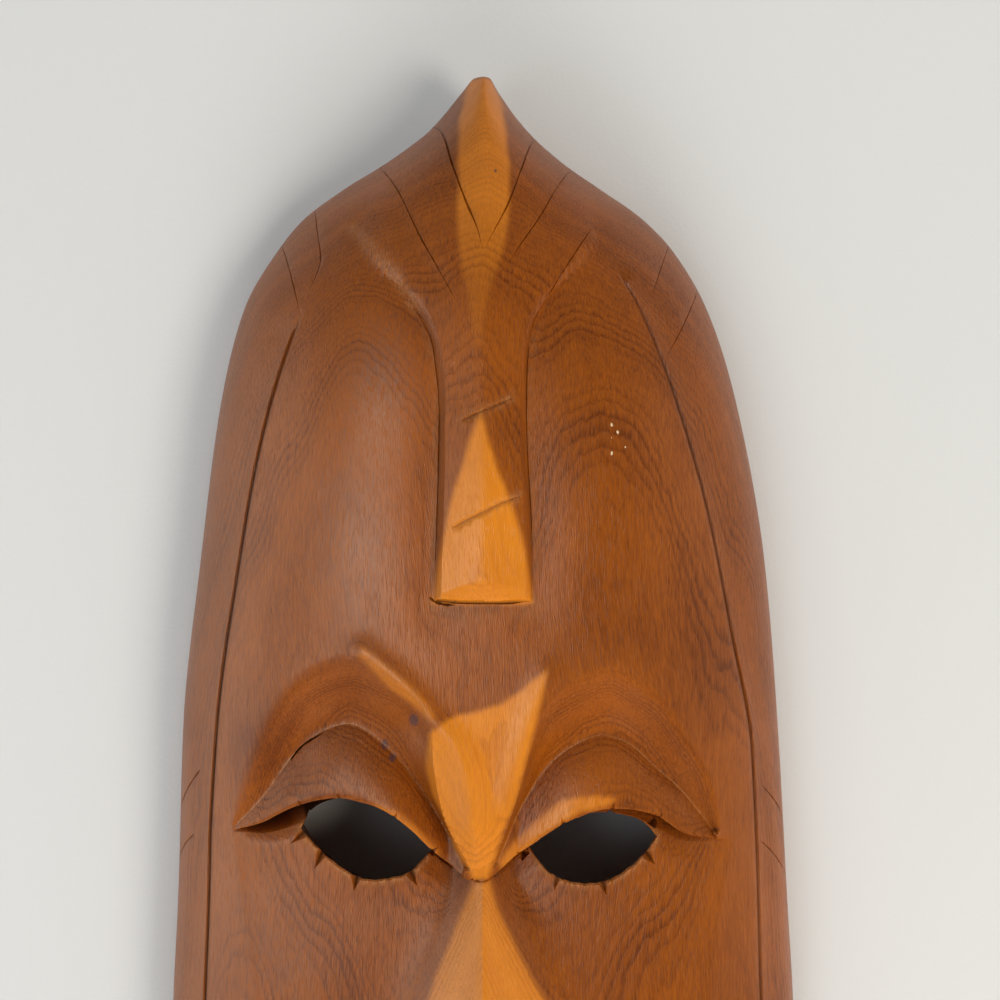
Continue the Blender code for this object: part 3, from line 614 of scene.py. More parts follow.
def bridge(across, down):
    """The two ridges from the brows into the bridge of the nose, and the pinch between the eyes."""
    left = apart(across, down, drawn(BRIDGE_LEFT))
    right = apart(across, down, drawn(BRIDGE_RIGHT))
    ridges = BRIDGE_OUT[0] * np.exp(-((left / BRIDGE_WIDE) ** 2))
    ridges = ridges + BRIDGE_OUT[1] * np.exp(-((right / BRIDGE_WIDE) ** 2))
    pinch = swell(across, down - PINCH_DOWN, PINCH_SIZE)
    off = np.abs(across - through(RIDGE_LINE, down))
    on_ridge = (off < 2.0 * FACET_WIDE) & (down > RIDGE_FACET[0][0]) & (down < RIDGE_FACET[-1][0])
    facets = through(RIDGE_FACET, down) * (1.0 - off / FACET_WIDE) * on_ridge
    facets = facets * (1.0 - blend(*FACET_FADE, off))
    return ridges * (1.0 - blend(*BRIDGE_FADE, down)) + facets - PINCH_DEEP * pinch


def lid_spare(name, across):
    """How far the lid's surface runs on past its edge before the cut under the lid takes it away."""
    return LID_SPARE[0] * through(column(LID_CUT[name], 1), np.abs(across)) - LID_SPARE[1]


def eye(across, down, name, lid=True):
    """How far the face is cut back round one eye: under the brow, on the lid and below it."""
    lines = EYES[name]
    brow = drawn(lines["brow"], BROW_STEPS)
    crease = drawn(lines["crease"])
    margin = drawn(lines["margin"])
    to_brow = apart(across, down, brow)
    to_crease = apart(across, down, crease)
    to_margin = apart(across, down, margin)
    out = np.abs(across)
    deep = through(SOCKET_DEEP, out)
    soft = 1.0 + RIM_SOFT * blend(*RIM_SOFT_FROM, out)
    scoop = deep * np.sin(np.pi / 2.0 * to_brow / (to_brow + to_crease + 1e-9)) ** soft
    rise = np.sin(np.pi / 2.0 * to_crease / (to_crease + to_margin + 1e-9)) ** LID_ROUND
    lid_depth = deep - through(LID_OUT, out) * rise
    side = (across < 0.0) == (margin[0, 0] < 0.0)
    below = down > line_down(margin, across)
    on_lid = within(across, down, np.concatenate([crease, margin[::-1]]))
    on_lid = on_lid | (below & (to_margin < 3.0) & side)
    cut = np.where(within(across, down, np.concatenate([brow, crease[::-1]])), scoop, 0.0)
    rounded = LIP_ROUND * np.clip(1.0 - to_margin / LIP_WIDE, 0.0, 1.0) ** 2
    rounded = rounded * blend(*LIP_FADE[0], out) * (1.0 - blend(*LIP_FADE[1], out))
    cut = np.where(on_lid, lid_depth + np.where(below, LIP_ROUND, rounded), cut)
    reach = through(UNDER_LID_REACH, out)
    under = through(lines["under"], out) * np.clip(1.0 - to_margin / reach, 0.0, 1.0) * (out < EYE_OUTER)
    past = np.where(below, to_margin, -to_margin) - lid_spare(name, across)
    share = blend(-MARGIN_SOFT, MARGIN_SOFT, past) if lid else 1.0
    return side * (cut * (1.0 - share) + under * share)


def cheek(across, down, lid=True):
    """The hollow beside the nose, from under the eyes to the mouth."""
    line = np.concatenate([drawn(EYES["left"]["margin"]), drawn(EYES["right"]["margin"])[::-1]])
    spare = np.where(across < 0.0, lid_spare("left", across), lid_spare("right", across)) if lid else -1.0
    below = blend(-0.3, 0.3, down - np.interp(across, line[:, 0], line[:, 1]) - spare)
    share = np.clip(np.abs(across) / through(CHEEK_EDGE, down), 0.0, 1.0)
    return below * through(CHEEK_DEEP, down) * (1.0 - share**2) * (down > CHEEK_FROM)


def nose(across, down):
    ridge = through(NOSE_RIDGE, down)
    rounded = through(NOSE_ROUND, down)
    sides = ridge - through(NOSE_STEEP, down) * (np.sqrt(across * across + rounded * rounded) - rounded)
    out = np.abs(across)
    wing_share = ((out - WING_ACROSS) / WING_SIZE[0]) ** 2 + ((down - WING_DOWN) / WING_SIZE[1]) ** 2
    shape = larger(sides, WING_UP - WING_FALL * wing_share, WING_SOFT)
    shape = shape - NOSTRIL_DEEP * swell(out - NOSTRIL[0], down - NOSTRIL[1], NOSTRIL_SIZE)
    shape = shape - NOSE_START_STEEP * np.maximum(PINCH_DOWN - down, 0.0)
    return np.where(down < NOSE_END, shape, FAR_BELOW)


def mouth(across, down):
    """Two full lips on a low swelling, and the rounded chin with a fold above it."""
    share = np.clip(1.0 - (across / MOUTH_HALF) ** 2, 0.0, 1.0) ** MOUTH_TAPER
    middle = MOUTH_DOWN + MOUTH_BOW * (across / MOUTH_HALF) ** 2
    total = MUZZLE_OUT * swell(across, down - MOUTH_DOWN, MUZZLE_SIZE)
    for high, out, way in ((LIP_HIGH[0], LIP_OUT[0], -1.0), (LIP_HIGH[1], LIP_OUT[1], 1.0)):
        place = np.clip(way * (down - middle) / (high * np.maximum(share, 0.05)), 0.0, 1.0)
        total = total + out * share * np.sin(np.pi * place ** LIP_FULL[0]) ** LIP_FULL[1]
    chin = CHIN_OUT * swell(across, down - CHIN_DOWN, CHIN_SIZE)
    fold = FOLD_DEEP * swell(across, down - FOLD_DOWN, FOLD_SIZE)
    return total + chin - fold


def front(across, down, lid=True):
    """The height of the carved face without its fine cuts, or of the face that runs on under the lids."""
    up = dome(across, down) + crest(across, down) + bridge(across, down) + mouth(across, down)
    up = up - eye(across, down, "left", lid) - eye(across, down, "right", lid) - cheek(across, down, lid)
    softer = (NOSE_FOOT_SOFT - NOSE_TOP_SOFT) * blend(PINCH_DOWN, PINCH_DOWN + NOSE_SOFTENS, down)
    up = larger(up, nose(across, down), NOSE_TOP_SOFT + softer)
    return np.maximum(up - band(across, down), edge_up(down))


def hollow_up(share, down):
    """The height of the hollow in the back, by the share of its half width."""
    section = 1.0 - np.clip(np.abs(share), 0.0, 1.0) ** HOLLOW_FALL
    return through(HOLLOW_UP, down) * section ** (1.0 / HOLLOW_ROUND)


def placed(across, down, up):
    """Millimetres on the mask, as metres in the scene."""
    return np.stack([across, LENGTH / 2.0 - down, up], axis=-1) * MM


# How finely the face is cut up: (down, step between rows), and the columns of one half.
ROW_STEP = [
    (0.0, 0.3), (3.0, 0.7), (12.0, 1.2), (40.0, 1.5), (124.0, 1.5), (128.0, 0.5), (134.0, 0.5),
    (140.0, 1.4), (155.0, 1.1), (205.0, 1.1), (225.0, 1.5), (267.0, 1.3), (341.0, 1.4), (355.0, 1.8),
    (400.0, 1.6), (412.0, 0.8), (420.0, 0.3),
]
EDGE_COLUMNS, FACE_COLUMNS, CREST_COLUMNS = 10, 62, 12
LINE_PULL = 0.22
# How many short steps a drawn line has.
LINE_STEPS, BROW_STEPS, LID_STEPS, KNIFE_STEPS = 48, 72, 120, 26
# Lines that need finer cutting up: the steps each is drawn with, and how far from it.
FINE_NEAR = {"margin": (LINE_STEPS, 2.6), "crease": (LINE_STEPS, 1.3), "brow": (BROW_STEPS, 0.9)}
FINE_NOSTRIL = 6.5
FINE_MOUTH = (1.0, 2.4)
# The step outside a cut under the tip: where it fades out, how sharp it is, and how far it reaches.
STEP_FADE = 8.0
STEP_SHARP = 0.25
STEP_REACH = (0.5, 7.0)
HOLLOW_GRID = (91, 130)


def length_property(name, description, default, least, most):
    return bpy.props.FloatProperty(
        name=name, description=description, default=default, min=least, max=most, precision=5,
        unit="LENGTH", subtype="DISTANCE",
    )


def share_property(name, description, default, least, most):
    return bpy.props.FloatProperty(
        name=name, description=description, default=default, min=least, max=most, subtype="FACTOR",
    )


def colour_property(name, description, colour):
    return bpy.props.FloatVectorProperty(
        name=name, description=description, default=colour, min=0.0, max=1.0, size=3, subtype="COLOR",
    )


class MaskSizes(bpy.types.PropertyGroup):
    groove_wide: length_property(
        "Side groove width", "Width of the long groove along each side", 0.0014, 0.0003, 0.004
    )
    groove_deep: length_property(
        "Side groove depth", "Depth of the long groove along each side", 0.0011, 0.0, 0.003
    )
    knife_width: share_property(
        "Knife cut width", "How wide the knife cuts are, as a share of what the mask has", 1.0, 0.4, 2.0
    )
    knife_depth: share_property(
        "Knife cut depth", "How deep the knife cuts are, as a share of what the mask has", 1.0, 0.4, 2.0
    )
    strand_step: length_property(
        "Strand step", "How much lower the wood lies outside a cut under the tip", 0.0003, 0.0, 0.001
    )
    hand_wave: length_property(
        "Hand carved waver", "How far the smoothed face wavers", 0.00012, 0.0, 0.0006
    )
    gouge_wide: length_property(
        "Gouge width", "Width of the gouge strokes that hollow the back", 0.008, 0.004, 0.02
    )
    gouge_deep: length_property(
        "Gouge depth", "Depth of the gouge strokes that hollow the back", 0.0005, 0.0, 0.001
    )


class MaskColours(bpy.types.PropertyGroup):
    heart_light: colour_property(
        "Heartwood, light", "The lighter bands of the red-brown wood", (0.365, 0.088, 0.0040),
    )
    heart_dark: colour_property(
        "Heartwood, dark", "The darker bands of the red-brown wood", (0.138, 0.0265, 0.0009),
    )
    sap_light: colour_property(
        "Sapwood, light", "The lighter bands of the orange wood", (0.84, 0.270, 0.014),
    )
    sap_dark: colour_property(
        "Sapwood, dark", "The darker bands of the orange wood", (0.50, 0.128, 0.004),
    )
    # Old wax and painted shade at the bottom of the cuts, under the lids, in the nicks and on the eye
    # holes' walls.
    cut_wax_and_shade: colour_property(
        "Old wax in the cuts", "The dark line at the bottom of a cut", (0.026, 0.007, 0.003),
    )
    scratched: colour_property(
        "Scratched wood", "Dry fibres where a tool has slipped", (0.62, 0.27, 0.085),
    )
    # Painted sheen: the pale colour painted where the face catches the light.
    painted_sheen: colour_property(
        "Dry wax", "The pale bloom of dry wax on the smoothed wood", (0.56, 0.36, 0.27),
    )
    stain: colour_property("Stain", "The small dark stains between the eyes", (0.070, 0.036, 0.045))
    chip: colour_property("Chip", "The tiny pale chips on the forehead", (0.92, 0.72, 0.45))
    table: colour_property("Table", "The pale table", (0.81, 0.813, 0.803))
    roughness: share_property("Wax roughness", "How dull the waxed wood is", 0.38, 0.0, 1.0)


def to_object_mode():
    if bpy.context.mode != "OBJECT":
        bpy.ops.object.mode_set(mode="OBJECT")


def only(obj):
    """Selects one object and nothing else."""
    to_object_mode()
    bpy.ops.object.select_all(action="DESELECT")
    obj.select_set(True)
    bpy.context.view_layer.objects.active = obj


def points_of(obj):
    points = np.empty(len(obj.data.vertices) * 3)
    obj.data.vertices.foreach_get("co", points)
    return points.reshape(-1, 3)


def move_points(obj, points):
    obj.data.vertices.foreach_set("co", np.ascontiguousarray(points, float).ravel())
    obj.data.update()


def add_values(obj, name, values):
    obj.data.attributes.new(name, "FLOAT", "POINT").data.foreach_set("value", values.astype(np.float32))


def carried(obj, name):
    """The values that the points of a piece carry."""
    values = np.empty(len(obj.data.vertices), np.float32)
    obj.data.attributes[name].data.foreach_get("value", values)
    return values.astype(float)


def face_places(points):
    """(across, down, up) in mm of points in metres."""
    return points[:, 0] / MM, LENGTH / 2.0 - points[:, 1] / MM, points[:, 2] / MM


def grid(name, columns, rows):
    """A grid from the add menu, with that many points across and along."""
    to_object_mode()
    bpy.ops.object.select_all(action="DESELECT")
    bpy.ops.mesh.primitive_grid_add(
        x_subdivisions=columns - 1, y_subdivisions=rows - 1, size=0.1, calc_uvs=False, location=(0, 0, 0)
    )
    obj = bpy.context.object
    obj.name = name
    obj.data.name = name
    return obj


def lofted(name, sections):
    """A closed solid through closed sections: an array of rows of points, in metres."""
    rows, points = sections.shape[:2]
    obj = grid(name, points + 1, rows)
    move_points(obj, np.concatenate([sections, sections[:, :1]], axis=1).reshape(-1, 3))
    bpy.ops.object.mode_set(mode="EDIT")
    bpy.ops.mesh.select_all(action="SELECT")
    bpy.ops.mesh.remove_doubles(threshold=1e-7)
    bpy.ops.mesh.select_all(action="SELECT")
    bpy.ops.mesh.fill_holes(sides=0)
    bpy.ops.mesh.select_all(action="SELECT")
    bpy.ops.mesh.normals_make_consistent(inside=False)
    to_object_mode()
    return obj


def joined(name, objects):
    only(objects[0])
    for obj in objects[1:]:
        obj.select_set(True)
    if len(objects) > 1:
        bpy.ops.object.join()
    objects[0].name = name
    return objects[0]


def cut(obj, cutter):
    """Takes the cutter's shape out of the piece, and the cutter away."""
    only(obj)
    modifier = obj.modifiers.new(cutter.name, "BOOLEAN")
    modifier.operation = "DIFFERENCE"
    modifier.solver = "MANIFOLD"
    modifier.object = cutter
    before = len(obj.data.polygons)
    bpy.ops.object.modifier_apply(modifier=modifier.name)
    if len(obj.data.polygons) == before:
        raise RuntimeError(cutter.name + " cut nothing")
    mesh = cutter.data
    bpy.data.objects.remove(cutter)
    bpy.data.meshes.remove(mesh)


def waver(across, down):
    """The slow waver that a hand leaves on a smoothed face, from -1 to 1."""
    slow = np.sin(across / 7.3 + 1.3 * np.sin(down / 17.0))
    slow = slow * np.sin(down / 11.9 + 0.9 * np.sin(across / 9.1))
    fast = np.sin(across / 3.1 + down / 12.7) * np.sin(down / 6.1 - across / 8.3)
    return 0.7 * slow + 0.3 * fast


def strand_steps(across, down, high):
    """How much lower the wood lies outside each of the cuts that fan out from the tip."""
    total = np.zeros(np.shape(across))
    for name in ("first_left", "first_right", "second_left", "second_right"):
        line = drawn(STRANDS[name][0], 32)
        order = np.argsort(line[:, 1])
        at = np.interp(down, line[order, 1], line[order, 0])
        side = -1.0 if "left" in name else 1.0
        off = apart(across, down, line) * np.where((across - at) * side > 0.0, 1.0, -1.0)
        fade = 1.0 - blend(line[-1, 1] - STEP_FADE, line[-1, 1], down)
        total = total + high * fade * blend(-STEP_SHARP, STEP_SHARP, off) * (1.0 - blend(*STEP_REACH, off))
    return total


def smoothed(across, down, sizes):
    """The height of the face before the side grooves are cut."""
    up = front(across, down) + waver(across, down) * sizes.hand_wave / MM * blend(0.0, 12.0, down)
    stroke = np.clip(1.0 - (apart(across, down, drawn(PALE_STROKE)) / STROKE_HALF) ** 2, 0.0, 1.0)
    return up - strand_steps(across, down, sizes.strand_step / MM) - STROKE_DEEP * stroke


def carved(across, down, sizes):
    """The height of the finished face."""
    side_cut = groove(across, down, sizes.groove_wide / MM, sizes.groove_deep / MM)
    return np.maximum(smoothed(across, down, sizes) - side_cut, edge_up(down))


def row_places():
    places = [0.0]
    while places[-1] < LENGTH:
        places.append(places[-1] + float(through(ROW_STEP, places[-1])))
    return np.array(places) * (LENGTH / places[-1])


def half_columns(side, down, groove_wide):
    """Places across one half of the face, from the edge to the middle, with columns along the groove."""
    sign = np.full(np.shape(down), side)
    edge = half_width(sign, down)
    middle = groove_across(sign, down)
    lip = np.minimum(groove_wide / 2.0, 0.3 * (edge - middle))
    bar = np.minimum(sided(CREST, sign, np.minimum(down, CREST_END)), 0.55 * middle)
    turns = [np.sin(np.pi / 2.0 * (1.0 - n / EDGE_COLUMNS)) for n in range(EDGE_COLUMNS)]
    columns = [middle + lip + (edge - middle - lip) * turn_share for turn_share in turns]
    columns += [middle + lip, middle]
    columns += [middle - lip + (bar - middle + lip) * n / FACE_COLUMNS for n in range(FACE_COLUMNS)]
    top = bar - CREST_SIDE * bar / 12.0
    columns += [bar, top]
    columns += [top * (1.0 - n / CREST_COLUMNS) for n in range(1, CREST_COLUMNS)]
    return np.stack(columns, axis=1) * side


def inset(down, by):
    """The outline moved inwards by a distance: left points and right points, as (across, down)."""
    sides = []
    for side in (-1.0, 1.0):
        sign = np.full(len(down), side)
        line = np.column_stack([side * half_width(sign, down), down])
        moved = line + by * side * square_to(line)
        moved[:, 0] = np.where(moved[:, 0] * side < 0.3, 0.3 * side, moved[:, 0])
        moved[:, 1] = np.clip(moved[:, 1], by * 0.6, LENGTH - by)
        moved[:, 1] = np.maximum.accumulate(moved[:, 1])
        sides.append(moved)
    return sides


def near_lines(across, down):
    """Whether a place is near a line that needs finer cutting up: the lids and the creases over them."""
    close = np.zeros(np.shape(across), bool)
    for lines in EYES.values():
        for name, (steps, reach) in FINE_NEAR.items():
            close |= apart(across, down, drawn(lines[name], steps)) < reach
    for nostril in (-1.0, 1.0):
        close |= np.hypot(across - nostril * NOSTRIL[0], down - NOSTRIL[1]) < FINE_NOSTRIL
    at_mouth = np.abs(down - MOUTH_DOWN - FINE_MOUTH[0]) < FINE_MOUTH[1]
    return close | (at_mouth & (np.abs(across) < MOUTH_HALF + 1.0))


def drawn_to_lines(flat):
    """Moves points of the flat grid next to a sharp line onto it, so that the line runs clean."""
    across, down = face_places(flat)[:2]
    for lines in EYES.values():
        for name in ("brow", "crease"):
            line = drawn(lines[name], BROW_STEPS)
            near = np.flatnonzero(apart(across, down, line) < LINE_PULL)
            best = np.full(len(near), 1e9)
            spot = np.column_stack([across[near], down[near]])
            place = spot.copy()
            for start, end in zip(line[:-1], line[1:]):
                step = end - start
                t = np.clip(((place - start) @ step) / (step @ step), 0.0, 1.0)
                on = start + t[:, None] * step
                off = np.hypot(*(place - on).T)
                spot = np.where((off < best)[:, None], on, spot)
                best = np.minimum(best, off)
            across[near], down[near] = spot.T
    return across, down


def select(obj, faces=None, edges=None):
    """Selects these faces or edges of a piece and nothing else."""
    for parts, chosen in ((obj.data.polygons, faces), (obj.data.edges, edges), (obj.data.vertices, None)):
        parts.foreach_set("select", np.zeros(len(parts), bool) if chosen is None else chosen)


def face_middles(obj):
    middles = np.empty(len(obj.data.polygons) * 3)
    obj.data.polygons.foreach_get("center", middles)
    return middles.reshape(-1, 3)


class CARVING_OT_face_blank(bpy.types.Operator):
    """Carve the front of the mask from a grid, turn its edge under and close its back"""
    bl_idname = "carving.face_blank"
    bl_label = "Carve the face"

    def execute(self, context):
        sizes = context.scene.mask_sizes
        rows = row_places()
        halves = [half_columns(side, rows, sizes.groove_wide / MM) for side in (-1.0, 1.0)]
        across = np.concatenate([halves[0], np.zeros((len(rows), 1)), halves[1][:, ::-1]], axis=1)[::-1]
        down = np.repeat(rows[::-1, None], across.shape[1], axis=1)
        obj = grid(PIECE, across.shape[1], len(rows))
        flat = placed(across, down, np.zeros(across.shape)).reshape(-1, 3)
        move_points(obj, flat)
        side, height, _ = face_places(face_middles(obj))
        select(obj, faces=near_lines(side, height))
        context.tool_settings.mesh_select_mode = (False, False, True)
        bpy.ops.object.mode_set(mode="EDIT")
        bpy.ops.mesh.subdivide(number_cuts=1)
        to_object_mode()
        side, height = drawn_to_lines(points_of(obj))
        move_points(obj, placed(side, height, carved(side, height, sizes)))
        self.turn_under(obj, rows, side, height)
        return {"FINISHED"}

    def turn_under(self, obj, rows, across, down):
        """Pulls the open edge down and in, ring by ring, to the flat rim, then closes the back."""
        share = across / half_width(across, down)
        add_values(obj, "share", share)
        add_values(obj, "down", down)
        low, high = rim_up(rows), edge_up(rows)
        bpy.context.tool_settings.mesh_select_mode = (False, True, False)
        bpy.ops.object.mode_set(mode="EDIT")
        bpy.ops.mesh.select_all(action="DESELECT")
        bpy.ops.mesh.select_non_manifold()
        to_object_mode()
        for by, level in ((0.3, 0.78), (0.8, 0.45), (RIM_TUCK * 0.6, 0.18), (RIM_TUCK, 0.0)):
            bpy.ops.object.mode_set(mode="EDIT")
            bpy.ops.mesh.extrude_region_move()
            to_object_mode()
            ring = np.empty(len(obj.data.vertices), bool)
            obj.data.vertices.foreach_get("select", ring)
            share, down = carried(obj, "share")[ring], carried(obj, "down")[ring]
            left, right = inset(rows, by)
            part = (share + 1.0) / 2.0
            ways = [[np.interp(down, rows, line[:, n]) for line in (left, right)] for n in (0, 1)]
            across_to, down_to = (one * (1.0 - part) + other * part for one, other in ways)
            points = points_of(obj)
            points[ring] = placed(across_to, down_to, np.interp(down, rows, low + (high - low) * level))
            move_points(obj, points)
        ends = np.array([edge.vertices for edge in obj.data.edges])
        share = carried(obj, "share")
        chains = ring[ends].all(axis=1) & (np.abs(share[ends]) > 0.9999).all(axis=1)
        chains &= share[ends[:, 0]] * share[ends[:, 1]] > 0.0
        select(obj, edges=chains)
        bpy.ops.object.mode_set(mode="EDIT")
        bpy.ops.mesh.bridge_edge_loops()
        bpy.ops.mesh.select_all(action="SELECT")
        bpy.ops.mesh.fill_holes(sides=0)
        bpy.ops.mesh.select_all(action="SELECT")
        bpy.ops.mesh.normals_make_consistent(inside=False)
        to_object_mode()
        for name in ("share", "down"):
            obj.data.attributes.remove(obj.data.attributes[name])


class CARVING_OT_hollow_back(bpy.types.Operator):
    """Hollow the back of the mask with overlapping gouge strokes"""
    bl_idname = "carving.hollow_back"
    bl_label = "Hollow the back"

    def execute(self, context):
        sizes = context.scene.mask_sizes
        columns, count = HOLLOW_GRID
        t = np.linspace(0.0, 1.0, count)
        rows = HOLLOW_FROM + (HOLLOW_TO - HOLLOW_FROM) * (0.5 - 0.5 * np.cos(np.pi * t)) ** 0.9
        ends = np.minimum(rows - HOLLOW_FROM, HOLLOW_TO - rows) / HOLLOW_END_ROUND
        narrow = np.sqrt(np.clip(1.0 - (1.0 - np.clip(ends, 0.01, 1.0)) ** 2, 0.0, 1.0))
        share = np.sin(np.pi / 2.0 * np.linspace(-1.0, 1.0, columns))
        side = np.where(share < 0.0, -1.0, 1.0)[None, :] + 0.0 * rows[:, None]
        down = np.repeat(rows[:, None], columns, axis=1)
        across = share[None, :] * (half_width(side, down) - RIM_WIDE) * narrow[:, None]
        up = hollow_up(share[None, :], down)
        wide = sizes.gouge_wide / MM
        lane = across / wide + LANE_WANDER[0] * np.sin(down / LANE_WANDER[1])
        stroke = down / STROKE_LONG + STROKE_SHIFT * np.floor(lane)
        stroke = stroke + STROKE_WANDER[0] * np.sin(across / STROKE_WANDER[1])
        scallop = np.abs(np.sin(np.pi * lane)) * (0.55 + 0.45 * np.abs(np.sin(np.pi * stroke)))
        inside = np.clip((1.0 - np.abs(share)[None, :]) * 6.0, 0.0, 1.0)
        inside = inside * np.clip(ends * 2.0, 0.0, 1.0)[:, None]
        up = up - (sizes.gouge_deep / MM) * (1.0 - scallop) * inside
        top = placed(across, down, up)
        base = top[:, [-1, 0]].copy()
        base[..., 2] = BELOW_BACK * MM
        cutter = lofted("hollow_cutter", np.concatenate([top, base], axis=1))
        cut(bpy.data.objects[PIECE], cutter)
        return {"FINISHED"}


def hole_outline(name):
    """The outline of an eye hole, with the small unevenness of its lower edge."""
    hole = sorted(EYES[name]["hole"])
    ends = np.pi * (np.arange(40) + 0.5) / 40.0
    across = (hole[0][0] + hole[-1][0]) / 2.0 - (hole[-1][0] - hole[0][0]) / 2.0 * np.cos(ends)
    upper = through(column(hole, 1), across, loose=True)
    lower = through(column(hole, 2), across, loose=True)
    lower = lower + 0.12 * np.sin(across * 2.1) + 0.07 * np.sin(across * 4.7 + 1.0)
    tips = np.array([(hole[0][0], hole[0][1]), (hole[-1][0], hole[-1][1])])
    sides = [tips[:1], np.column_stack([across, upper]), tips[1:], np.column_stack([across, lower])[::-1]]
    return np.concatenate(sides)


class CARVING_OT_eye_holes(bpy.types.Operator):
    """Cut both eye holes through the mask, a little wider inside"""
    bl_idname = "carving.eye_holes"
    bl_label = "Cut the eye holes"

    def execute(self, context):
        for name in EYES:
            loop = hole_outline(name)
            away = loop - loop.mean(axis=0)
            away = away / np.linalg.norm(away, axis=1)[:, None]
            rim = front(loop[:, 0], loop[:, 1], lid=False) - HOLE_RIM_SINK
            rings = []
            levels = [(up, HOLE_FLARE) for up in HOLE_BACK]
            levels += [(rim - HOLE_BEVEL[0], HOLE_BEVEL[1]), (rim, 0.0)]
            levels += [(rim + HOLE_CHAMFER[0], HOLE_CHAMFER[1]), (ABOVE_ALL, HOLE_CHAMFER[1])]
            for up, grow in levels:
                ring = loop + away * grow
                rings.append(placed(ring[:, 0], ring[:, 1], up + np.zeros(len(ring))))
            cut(bpy.data.objects[PIECE], lofted(name + "_eye_cutter", np.stack(rings)))
        return {"FINISHED"}


class CARVING_OT_lid_edges(bpy.types.Operator):
    """Cut under both upper lids, so that each has a crisp edge and a dark slit at its outer corner"""
    bl_idname = "carving.lid_edges"
    bl_label = "Cut under the lids"

    def execute(self, context):
        sizes = context.scene.mask_sizes
        for name, stations in LID_CUT.items():
            line = drawn(EYES[name]["margin"], LID_STEPS)
            across, down = line.T
            wide, deep = (through(column(stations, n), np.abs(across)) for n in (1, 2))
            off = square_to(line)
            off = off * np.sign(off[:, 1:])
            foot = line + off * wide[:, None]
            top = front(across, down) + 1.5
            share = across / (half_width(across, down) - RIM_WIDE)
            floor = np.maximum(front(across, down, lid=False) - deep, hollow_up(share, down) + 3.0)
            far = smoothed(foot[:, 0], foot[:, 1], sizes) - 0.02
            past = foot + off * 0.3
            corners = [
                placed(across, down, top),
                placed(across, down, np.minimum(floor, top - 1.0)),
                placed(foot[:, 0], foot[:, 1], far),
                placed(past[:, 0], past[:, 1], np.maximum(top, far + 1.0)),
            ]
            cut(bpy.data.objects[PIECE], lofted(name + "_lid_cutter", np.stack(corners, axis=1)))
        return {"FINISHED"}


def wedge(name, line, wide, deep, sizes, lift=1.0):
    """A three-sided cutter along a drawn line: width and depth in mm at each of its points."""
    off = square_to(line)
    bottom = carved(line[:, 0], line[:, 1], sizes) - deep
    corners = [placed(line[:, 0], line[:, 1], bottom)]
    for side in (-1.0, 1.0):
        edge = line + off * (side * wide / 2.0)[:, None]
        surface = carved(edge[:, 0], edge[:, 1], sizes)
        top = edge + off * (side * wide / 2.0 * lift / np.maximum(deep, 0.1))[:, None]
        corners.append(placed(top[:, 0], top[:, 1], surface + lift))
    return lofted(name, np.stack(corners, axis=1))


class CARVING_OT_knife_lines(bpy.types.Operator):
    """Cut the knife lines under the tip, by the crest and at the sides, and the nicks round the eyes"""
    bl_idname = "carving.knife_lines"
    bl_label = "Cut the knife lines"

    def execute(self, context):
        sizes = context.scene.mask_sizes
        mask = bpy.data.objects[PIECE]
        groups = ([], [])
        for number, (name, (points, wide, deep, _dark)) in enumerate(STRANDS.items()):
            line = drawn(points, KNIFE_STEPS)
            place = np.linspace(0.0, 1.0, len(line))
            start = place / KNIFE_START[0] + KNIFE_START[1]
            taper = np.clip(np.minimum(start, (1.0 - place) / KNIFE_END[0] + KNIFE_END[1]), 0.0, 1.0)
            uneven = 1.0 + KNIFE_UNEVEN[0] * np.sin(place * 19.0 + number)
            uneven = uneven + KNIFE_UNEVEN[1] * np.sin(place * 43.0 + 2.0 * number)
            deeper = deep * sizes.knife_depth * taper * uneven
            wider = wide * sizes.knife_width * np.maximum(taper, 0.3) * uneven
            cutter = wedge(name + "_knife", line, wider, deeper, sizes)
            groups[number % 2].append(cutter)
        nicks = []
        for number, (start, end) in enumerate(LASHES):
            start, end = np.array(start), np.array(end)
            place = np.linspace(*LASH_RUN, 6)
            line = start + (end - start) * place[:, None]
            wide = LASH_WIDE * np.clip(LASH_RUN[1] - place, 0.06, 1.2)
            deep = LASH_DEEP * np.clip(LASH_RUN[1] - place, 0.08, 1.2)
            nicks.append(wedge("lash_%02d" % number, line, wide, deep, sizes, lift=LASH_LIFT))
        for name, cutters in (("knife_a", groups[0]), ("knife_b", groups[1]), ("lashes", nicks)):
            cut(mask, joined(name, cutters))
        return {"FINISHED"}


def math_operator(operation, turned_round=False):
    """A Python operator that adds one Math node."""

    def apply(value, *others):
        return value.math(operation, *((*others, value) if turned_round else (value, *others)))

    return apply


class Value:
    """A socket that takes part in Python sums, each of which adds its Math node."""

    def __init__(self, finish, socket):
        self.finish = finish
        self.socket = socket

    def math(self, operation, *values, clamp=False):
        settings = {"operation": operation, "use_clamp": clamp}
        return self.finish.value("ShaderNodeMath", settings, dict(enumerate(values)))

    __add__, __radd__ = math_operator("ADD"), math_operator("ADD", True)
    __sub__, __rsub__ = math_operator("SUBTRACT"), math_operator("SUBTRACT", True)
    __mul__, __rmul__ = math_operator("MULTIPLY"), math_operator("MULTIPLY", True)
    __truediv__, __rtruediv__ = math_operator("DIVIDE"), math_operator("DIVIDE", True)
    __pow__, __abs__ = math_operator("POWER"), math_operator("ABSOLUTE")

    def fraction(self):
        return self.math("FRACT", self)

    def clamped(self):
        return self.math("ADD", self, 0.0, clamp=True)

    def step(self, low, high):
        """0 up to low, 1 from high, smooth between."""
        settings = {"interpolation_type": "SMOOTHSTEP", "clamp": True}
        inputs = {"Value": self, "From Min": low, "From Max": high}
        return self.finish.value("ShaderNodeMapRange", settings, inputs, "Result")


